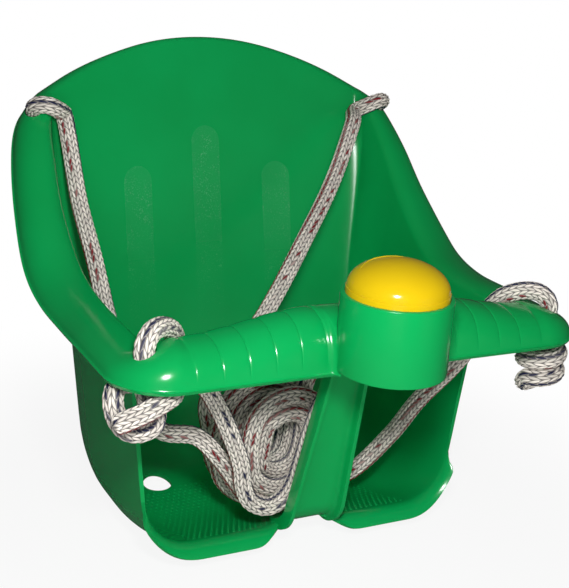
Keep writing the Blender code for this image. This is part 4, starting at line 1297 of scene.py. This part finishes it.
# ------------------------------------------------------------------ the ropes
@dataclass
class Rope:
    """One rope: a knot under each of its side's holes and the spare length in the seat."""

    side: Side
    seat: Moulding
    size: float = 0.0120
    pitch: float = 0.0127
    knot_radius: float = 0.0132
    knot_turns: float = 1.6
    knot_tail: float = 0.0150
    tighter: float = 0.0020
    hank_x: float = -0.0120
    hank_radius: float = 0.0385
    hank_straight: float = 0.0080
    hank_turns: int = 2
    hank_points: int = 24
    round_points: int = 42
    step: float = 0.001
    valley: float = 0.0009
    stitch_high: float = 0.0012
    wander: tuple[float, float] = (0.35, 21.0)
    end_round: float = 0.004
    end_least: float = 0.02
    braid: BraidedRope = BraidedRope()

    def knot(self, core: Vector, tail_angle: float) -> list[Vector]:
        """Lay out a stopper knot: down its core, then up round it in turns, and a short tail.

        Args:
            core: the middle of the knot.
            tail_angle: the way that its tail leaves, as an angle about +Z.

        Returns:
            The points, from the top of the core to the tail.
        """
        hand = self.side.value
        radius = self.knot_radius - (self.tighter if hand > 0 and core.y < 0 else 0.0)
        points = [core + Vector((0, 0, z)) for z in (0.0180, 0.0080, -0.0040)]
        first = tail_angle - hand * 2 * math.pi * self.knot_turns
        ray = Vector((math.cos(first), math.sin(first), 0))
        points.append(core + ray * 0.0030 + Vector((0, 0, -0.0155)))
        points.append(core + ray * 0.0095 + Vector((0, 0, -0.0185)))
        steps = int(12 * self.knot_turns)
        angle = first
        for step in range(1, steps + 1):
            angle = first + hand * 2 * math.pi * self.knot_turns * step / steps
            ray = Vector((math.cos(angle), math.sin(angle), 0))
            z = -0.0140 + self.pitch * self.knot_turns * step / steps
            points.append(core + ray * radius + Vector((0, 0, z)))
        away = Vector((-math.sin(angle), math.cos(angle), 0)) * hand
        points.append(points[-1] + (away + 0.35 * ray) * 0.6 * self.knot_tail)
        points.append(points[-1] + (away + 0.45 * ray) * 0.6 * self.knot_tail)
        return points

    def front_knot(self) -> list[Vector]:
        """Lay out the knot under the front hole, from its tail up to the hole.

        Returns:
            The points: a loose overhand knot on the left, a compact one on the right.
        """
        x, y = self.seat.hole_front
        if self.side is Side.RIGHT:
            knot = self.knot(Vector((x, y, 0.1450)), 0.3)
            return list(reversed(knot))
        return [Vector(p) for p in (
            (-0.1680, -0.1225, 0.1440), (-0.1600, -0.1238, 0.1470), (-0.1500, -0.1238, 0.1502),
            (-0.1385, -0.1210, 0.1537), (-0.1275, -0.1125, 0.1545), (-0.1260, -0.1000, 0.1530),
            (-0.1350, -0.0915, 0.1525), (-0.1470, -0.0905, 0.1550), (-0.1560, -0.0960, 0.1560),
            (-0.1612, -0.1040, 0.1515), (-0.1602, -0.1085, 0.1420), (-0.1545, -0.1100, 0.1345),
            (-0.1460, -0.1100, 0.1320), (-0.1375, -0.1090, 0.1350), (-0.1365, -0.1078, 0.1430),
            (-0.1415, -0.1068, 0.1515), (-0.1440, -0.1065, 0.1610))]

    def hank(self) -> list[Vector]:
        """Lay out the oval hank, which winds inward in one layer and outward in the next.

        Returns:
            The points, with a straight lead before the first turn and after the last.
        """
        y, z, first, last, hand = {
            Side.LEFT: (-0.0400, 0.0710, 0.07, -1.46, 1),
            Side.RIGHT: (-0.0146, 0.0690, -0.25, 0.0, -1)}[self.side]
        points = []
        end = last + 2 * self.hank_turns
        count = round((end - first) * self.hank_points)
        for step in range(count + 1):
            turn = first + (end - first) * step / count
            radius = self.hank_radius - self.pitch * (self.hank_turns
                                                      - abs(turn - self.hank_turns))
            layer = self.pitch * smoothstep(self.hank_turns - 0.25, self.hank_turns + 0.25, turn)
            angle = math.pi + hand * 2 * math.pi * turn
            shift = self.hank_straight * max(-1.0, min(1.0, 2.2 * math.sin(angle)))
            points.append(Vector((self.hank_x + radius * math.cos(angle), y + layer,
                                  z + shift + radius * math.sin(angle))))
        for index, beside in ((0, 1), (-1, -2)):
            away = points[index] - points[beside]
            away.y = 0
            tip = points[index] + away.normalized() * 2.1 * self.size
            points.insert(0 if index == 0 else len(points), tip)
        return points

    def route(self) -> list[Vector]:
        """Lay out the whole rope.

        Returns:
            The points, from the front knot's tail to the rear knot's tail.
        """
        hand = self.side.value
        front = self.front_knot()
        front += [Vector((hand * px, py, pz)) for px, py, pz in (
            (0.1445, -0.1067, 0.1740), (0.1440, -0.1062, 0.1840), (0.1385, -0.1018, 0.1898),
            (0.1290, -0.0945, 0.1892), (0.1195, -0.0868, 0.1825), (0.1135, -0.0803, 0.1690))]
        hole, up, out = self.seat.rear_hole(self.side)
        rear = list(reversed(self.knot(hole + Vector((hand * -0.0140, 0.0200, -0.0420)),
                                       math.pi / 2)))
        rear += [hole + up * h - out * n for h, n in (
            (-0.0160, 0), (-0.0070, 0), (0.0015, 0.0008), (0.0068, 0.0055), (0.0060, 0.0125),
            (-0.0010, 0.0175), (-0.0120, 0.0200))]
        if self.side is Side.LEFT:
            front_leg = ((-0.1105, -0.0755, 0.1530), (-0.1000, -0.0670, 0.1420),
                         (-0.0860, -0.0595, 0.1340), (-0.0735, -0.0545, 0.1180),
                         (-0.0610, -0.0545, 0.0940), (-0.0515, -0.0545, 0.0700),
                         (-0.0490, -0.0545, 0.0545), (-0.0425, -0.0545, 0.0415),
                         (-0.0300, -0.0545, 0.0350), (-0.0185, -0.0545, 0.0385),
                         (-0.0105, -0.0545, 0.0490), (-0.0060, -0.0545, 0.0640),
                         (-0.0015, -0.0545, 0.0820), (0.0045, -0.0545, 0.1020),
                         (0.0115, -0.0545, 0.1180), (0.0160, -0.0505, 0.1300),
                         (0.0170, -0.0400, 0.1345), (0.0130, -0.0305, 0.1270))
            rear_leg = ((-0.1170, 0.0990, 0.2140), (-0.1138, 0.0710, 0.1780),
                        (-0.1115, 0.0500, 0.1480), (-0.1105, 0.0200, 0.1190),
                        (-0.1090, -0.0080, 0.0980), (-0.0960, -0.0250, 0.0870),
                        (-0.0760, -0.0350, 0.0850))
            hank = list(reversed(self.hank()))
        else:
            front_leg = ((0.1120, -0.0760, 0.1525), (0.1035, -0.0680, 0.1300),
                         (0.0925, -0.0430, 0.0915), (0.0840, -0.0270, 0.0600),
                         (0.0590, -0.0180, 0.0300), (0.0320, -0.0155, 0.0240))
            rear_leg = ((0.1040, 0.1000, 0.2640), (0.0756, 0.0750, 0.2250),
                        (0.0375, 0.0450, 0.1880), (-0.0040, 0.0150, 0.1490),
                        (-0.0340, 0.0020, 0.1200))
            hank = self.hank()
        front += [Vector(p) for p in front_leg]
        rear += [Vector(p) for p in rear_leg]
        return front + hank + list(reversed(rear))

    def rings(self, line: np.ndarray) -> tuple[np.ndarray, np.ndarray]:
        """Carry two axes across the rope along its line, without twist.

        Args:
            line: the line's points.

        Returns:
            The two axes at each point.
        """
        along = np.gradient(line, axis=0)
        along /= np.linalg.norm(along, axis=1)[:, None]
        first = np.cross(along[0], (0.3, 0.2, 0.93))
        first /= np.linalg.norm(first)
        axes = [first]
        for direction in along[1:]:
            axis = axes[-1] - direction * axes[-1].dot(direction)
            axes.append(axis / np.linalg.norm(axis))
        a = np.array(axes)
        return a, np.cross(along, a)

    def build(self, finish: bpy.types.Material) -> bpy.types.Object:
        """Args:
            finish: its material.

        Returns:
            The piece.
        """
        points = smooth_points(self.route(), self.step)
        raw = np.array([tuple(p) for p in points])
        run = np.concatenate([[0], np.cumsum(np.linalg.norm(np.diff(raw, axis=0), axis=1))])
        count = int(run[-1] / self.step)
        at = np.linspace(0, run[-1], count + 1)
        line = np.stack([np.interp(at, run, raw[:, k]) for k in range(3)], axis=1)
        a, b = self.rings(line)
        sides = self.round_points
        ring, turn = np.meshgrid(np.arange(count + 1), np.arange(sides + 1), indexing="ij")
        stitches = self.braid.relief(at[ring], turn / sides)
        radius = self.size / 2 - self.valley + self.stitch_high * stitches
        sway, rate = self.wander
        angle = 2 * np.pi * turn / sides + sway * np.sin(at[ring] * rate)
        ends = np.minimum(at, run[-1] - at)[ring]
        capped = np.sqrt(np.clip(1 - (1 - ends / self.end_round) ** 2, self.end_least, 1))
        radius = radius * capped ** (ends < self.end_round)
        places = (line[ring] + radius[..., None] * (np.cos(angle)[..., None] * a[ring]
                                                    + np.sin(angle)[..., None] * b[ring]))

        bm = bmesh.new()
        bmesh.ops.create_grid(bm, x_segments=sides, y_segments=count, size=1.0)
        mesh = bpy.data.meshes.new("rope")
        bm.to_mesh(mesh)
        bm.free()
        grid = np.zeros(len(mesh.vertices) * 3)
        mesh.vertices.foreach_get("co", grid)
        grid = grid.reshape(-1, 3)
        j = np.round((grid[:, 0] + 1) / 2 * sides).astype(int)
        i = np.round((grid[:, 1] + 1) / 2 * count).astype(int)
        mesh.vertices.foreach_set("co", places[i, j].astype(np.float32).ravel())
        corners = np.zeros(len(mesh.loops), dtype=np.int32)
        mesh.loops.foreach_get("vertex_index", corners)
        lay = np.stack([j[corners] / sides, at[i[corners]]], axis=1)
        mesh.uv_layers.new(name="lay").uv.foreach_set("vector", lay.astype(np.float32).ravel())
        bm = bmesh.new()
        bm.from_mesh(mesh)
        bpy.data.meshes.remove(mesh)
        seam = [v for v in bm.verts if v.is_boundary]
        bmesh.ops.remove_doubles(bm, verts=seam, dist=1e-6)
        bmesh.ops.holes_fill(bm, edges=[e for e in bm.edges if e.is_boundary], sides=0)
        bmesh.ops.recalc_face_normals(bm, faces=bm.faces)
        name = f"rope_{self.side.name.lower()}"
        piece = finished(name, bm, finish, 180)
        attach(piece, "seat")
        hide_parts(f"rope_front_{self.side.name.lower()}",
                    f"rope_hank_{self.side.name.lower()}", f"rope_rear_{self.side.name.lower()}")
        return piece


# ------------------------------------------------------------------ the studio
@dataclass
class Studio:
    """Camera, lamps, floor and background."""

    place: tuple[float, float, float] = (-0.38486, -0.70322, 0.43516)
    azimuth: float = -0.48141
    elevation: float = 0.28682
    roll: float = 0.07456
    lens: float = 74.36
    shift: tuple[float, float] = (0.0342, -0.0785)
    floor_half: float = 9.0
    floor_fade: tuple[float, float] = (0.18, 0.42)
    floor_share: float = 0.90
    gloss_share: float = 0.85

    def camera(self) -> None:
        """Put the camera at the photograph's viewing angle."""
        back = Vector((math.sin(self.azimuth) * math.cos(self.elevation),
                       -math.cos(self.azimuth) * math.cos(self.elevation),
                       math.sin(self.elevation)))
        right = (-back).cross(Vector((0, 0, 1))).normalized()
        up = right.cross(-back)
        turned_right = right * math.cos(self.roll) + up * math.sin(self.roll)
        turned_up = up * math.cos(self.roll) - right * math.sin(self.roll)
        data = bpy.data.cameras.new("camera")
        data.lens = self.lens
        data.sensor_width = 36
        data.shift_x, data.shift_y = self.shift
        data.clip_start = 0.01
        item = bpy.data.objects.new("camera", data)
        turn = Matrix((turned_right, turned_up, back)).transposed().to_4x4()
        item.matrix_world = Matrix.Translation(self.place) @ turn
        bpy.context.scene.collection.objects.link(item)
        bpy.context.scene.camera = item

    def lamp(self, name: str, place: Row, size: float, power: float,
             glossy: bool = True) -> None:
        """Add a square area lamp that points at the seat.

        Args:
            name: the lamp's name.
            place: where it stands.
            size: its side.
            power: its power in watts.
            glossy: whether it shows in the gloss of the moulding.
        """
        data = bpy.data.lights.new(name, "AREA")
        data.size = size
        data.energy = power
        item = bpy.data.objects.new(name, data)
        item.location = place
        item.rotation_mode = "QUATERNION"
        aim = Vector((0, 0, 0.14)) - Vector(place)
        item.rotation_quaternion = aim.to_track_quat("-Z", "Y")
        item.visible_glossy = glossy
        bpy.context.scene.collection.objects.link(item)

    def lamps(self) -> None:
        """Place a small bright lamp beside the camera and soft fill from the sides and above."""
        self.lamp("key", (-0.25, -0.50, 0.45), 0.07, 2.8)
        self.lamp("left_fill", (-0.50, -1.05, 0.24), 0.5, 2.0, glossy=False)
        self.lamp("right_fill", (0.50, -1.00, 0.22), 0.5, 1.3, glossy=False)
        self.lamp("top", (0.05, 0.10, 1.35), 0.9, 0.7, glossy=False)

    @staticmethod
    def whitened(tree: bpy.types.NodeTree, lit: float, gloss: float, seen: float) -> object:
        """Give a white surface its own strength for each kind of ray.

        Args:
            tree: the node tree.
            lit: its strength as a light.
            gloss: its strength in the gloss.
            seen: its strength as the camera sees it.

        Returns:
            The strength's output.
        """
        rays = tree.nodes.new("ShaderNodeLightPath")
        first = tree.nodes.new("ShaderNodeMix")
        second = tree.nodes.new("ShaderNodeMix")
        first.inputs["A"].default_value = lit
        first.inputs["B"].default_value = gloss
        second.inputs["B"].default_value = seen
        tree.links.new(rays.outputs["Is Glossy Ray"], first.inputs["Factor"])
        tree.links.new(first.outputs["Result"], second.inputs["A"])
        tree.links.new(rays.outputs["Is Camera Ray"], second.inputs["Factor"])
        return second.outputs["Result"]

    def surroundings(self) -> None:
        """Lay a pale floor that keeps the seat's shadow, and a white background."""
        bm = bmesh.new()
        bmesh.ops.create_grid(bm, x_segments=1, y_segments=1, size=self.floor_half)
        graph = Graph("studio_floor")
        graph.surface(Base_Color=(0.80, 0.80, 0.80, 1), Roughness=0.8, Specular_IOR_Level=0.0)
        away = graph.node("ShaderNodeVectorMath", {0: graph.coords}, operation="LENGTH")
        far = graph.ramp(away.outputs["Value"], *self.floor_fade, self.floor_share, 1.0)
        rays = graph.node("ShaderNodeLightPath")
        dim = graph.maths("MULTIPLY", rays.outputs["Is Glossy Ray"], self.gloss_share)
        share = graph.maths("ADD", graph.maths("MULTIPLY", rays.outputs["Is Camera Ray"], far),
                            dim)
        glow = graph.node("ShaderNodeEmission", {
            "Color": (1, 1, 1, 1), "Strength": self.whitened(graph.tree, 0.0, 0.02, 1.0)})
        mixed = graph.node("ShaderNodeMixShader", {0: share, 1: graph.shader.outputs[0],
                                                   2: glow.outputs[0]})
        graph.tree.links.new(mixed.outputs[0], graph.tree.nodes["Material Output"].inputs[0])
        floor = finished("floor", bm, graph.material)
        floor.location.z = -0.0002
        world = bpy.data.worlds.new("studio")
        world.use_nodes = True
        shade = world.node_tree.nodes["Background"]
        world.node_tree.links.new(self.whitened(world.node_tree, 0.10, 0.05, 1.0),
                                  shade.inputs["Strength"])
        shade.inputs["Color"].default_value = (1, 1, 1, 1)
        bpy.context.scene.world = world


def main() -> None:
    """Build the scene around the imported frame."""
    logging.basicConfig(level=logging.INFO, format="%(message)s")
    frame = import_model()
    studio = Studio()
    studio.camera()
    seat = Moulding()
    rope_finish = BraidedRope().make()
    ropes = [Rope(side, seat).build(rope_finish) for side in Side]

    moulding = seat.build(GREEN.make())
    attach(moulding, "seat")
    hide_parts("seat_shell")
    dome = PushDome(seat).build(YELLOW.make())
    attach(dome, "horn")
    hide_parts("horn_dome")
    dots = seat.pan_dots(moulding.data.materials[0])
    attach(dots, "seat")
    bellows = Bellows(seat.cup_y, PushDome.bellows_top).build(BELLOWS.make())
    for piece in (*ropes, moulding, dome, dots, bellows):
        LOG.info("%s: %d faces", piece.name, len(piece.data.polygons))

    screw_finish = ZINC.make()
    dressed = {"horn_base_plate": PLATE.make(), "horn_reed": REED.make()}
    for name, node in frame["nodes"].items():
        if name.startswith("plate_screw"):
            dressed[name] = screw_finish
        if name in dressed:
            node.data.materials.clear()
            node.data.materials.append(dressed[name])
            LOG.info("%s dressed", name)

    studio.lamps()
    studio.surroundings()
    bpy.context.scene.view_settings.view_transform = "Standard"


if __name__ == "__main__":
    main()
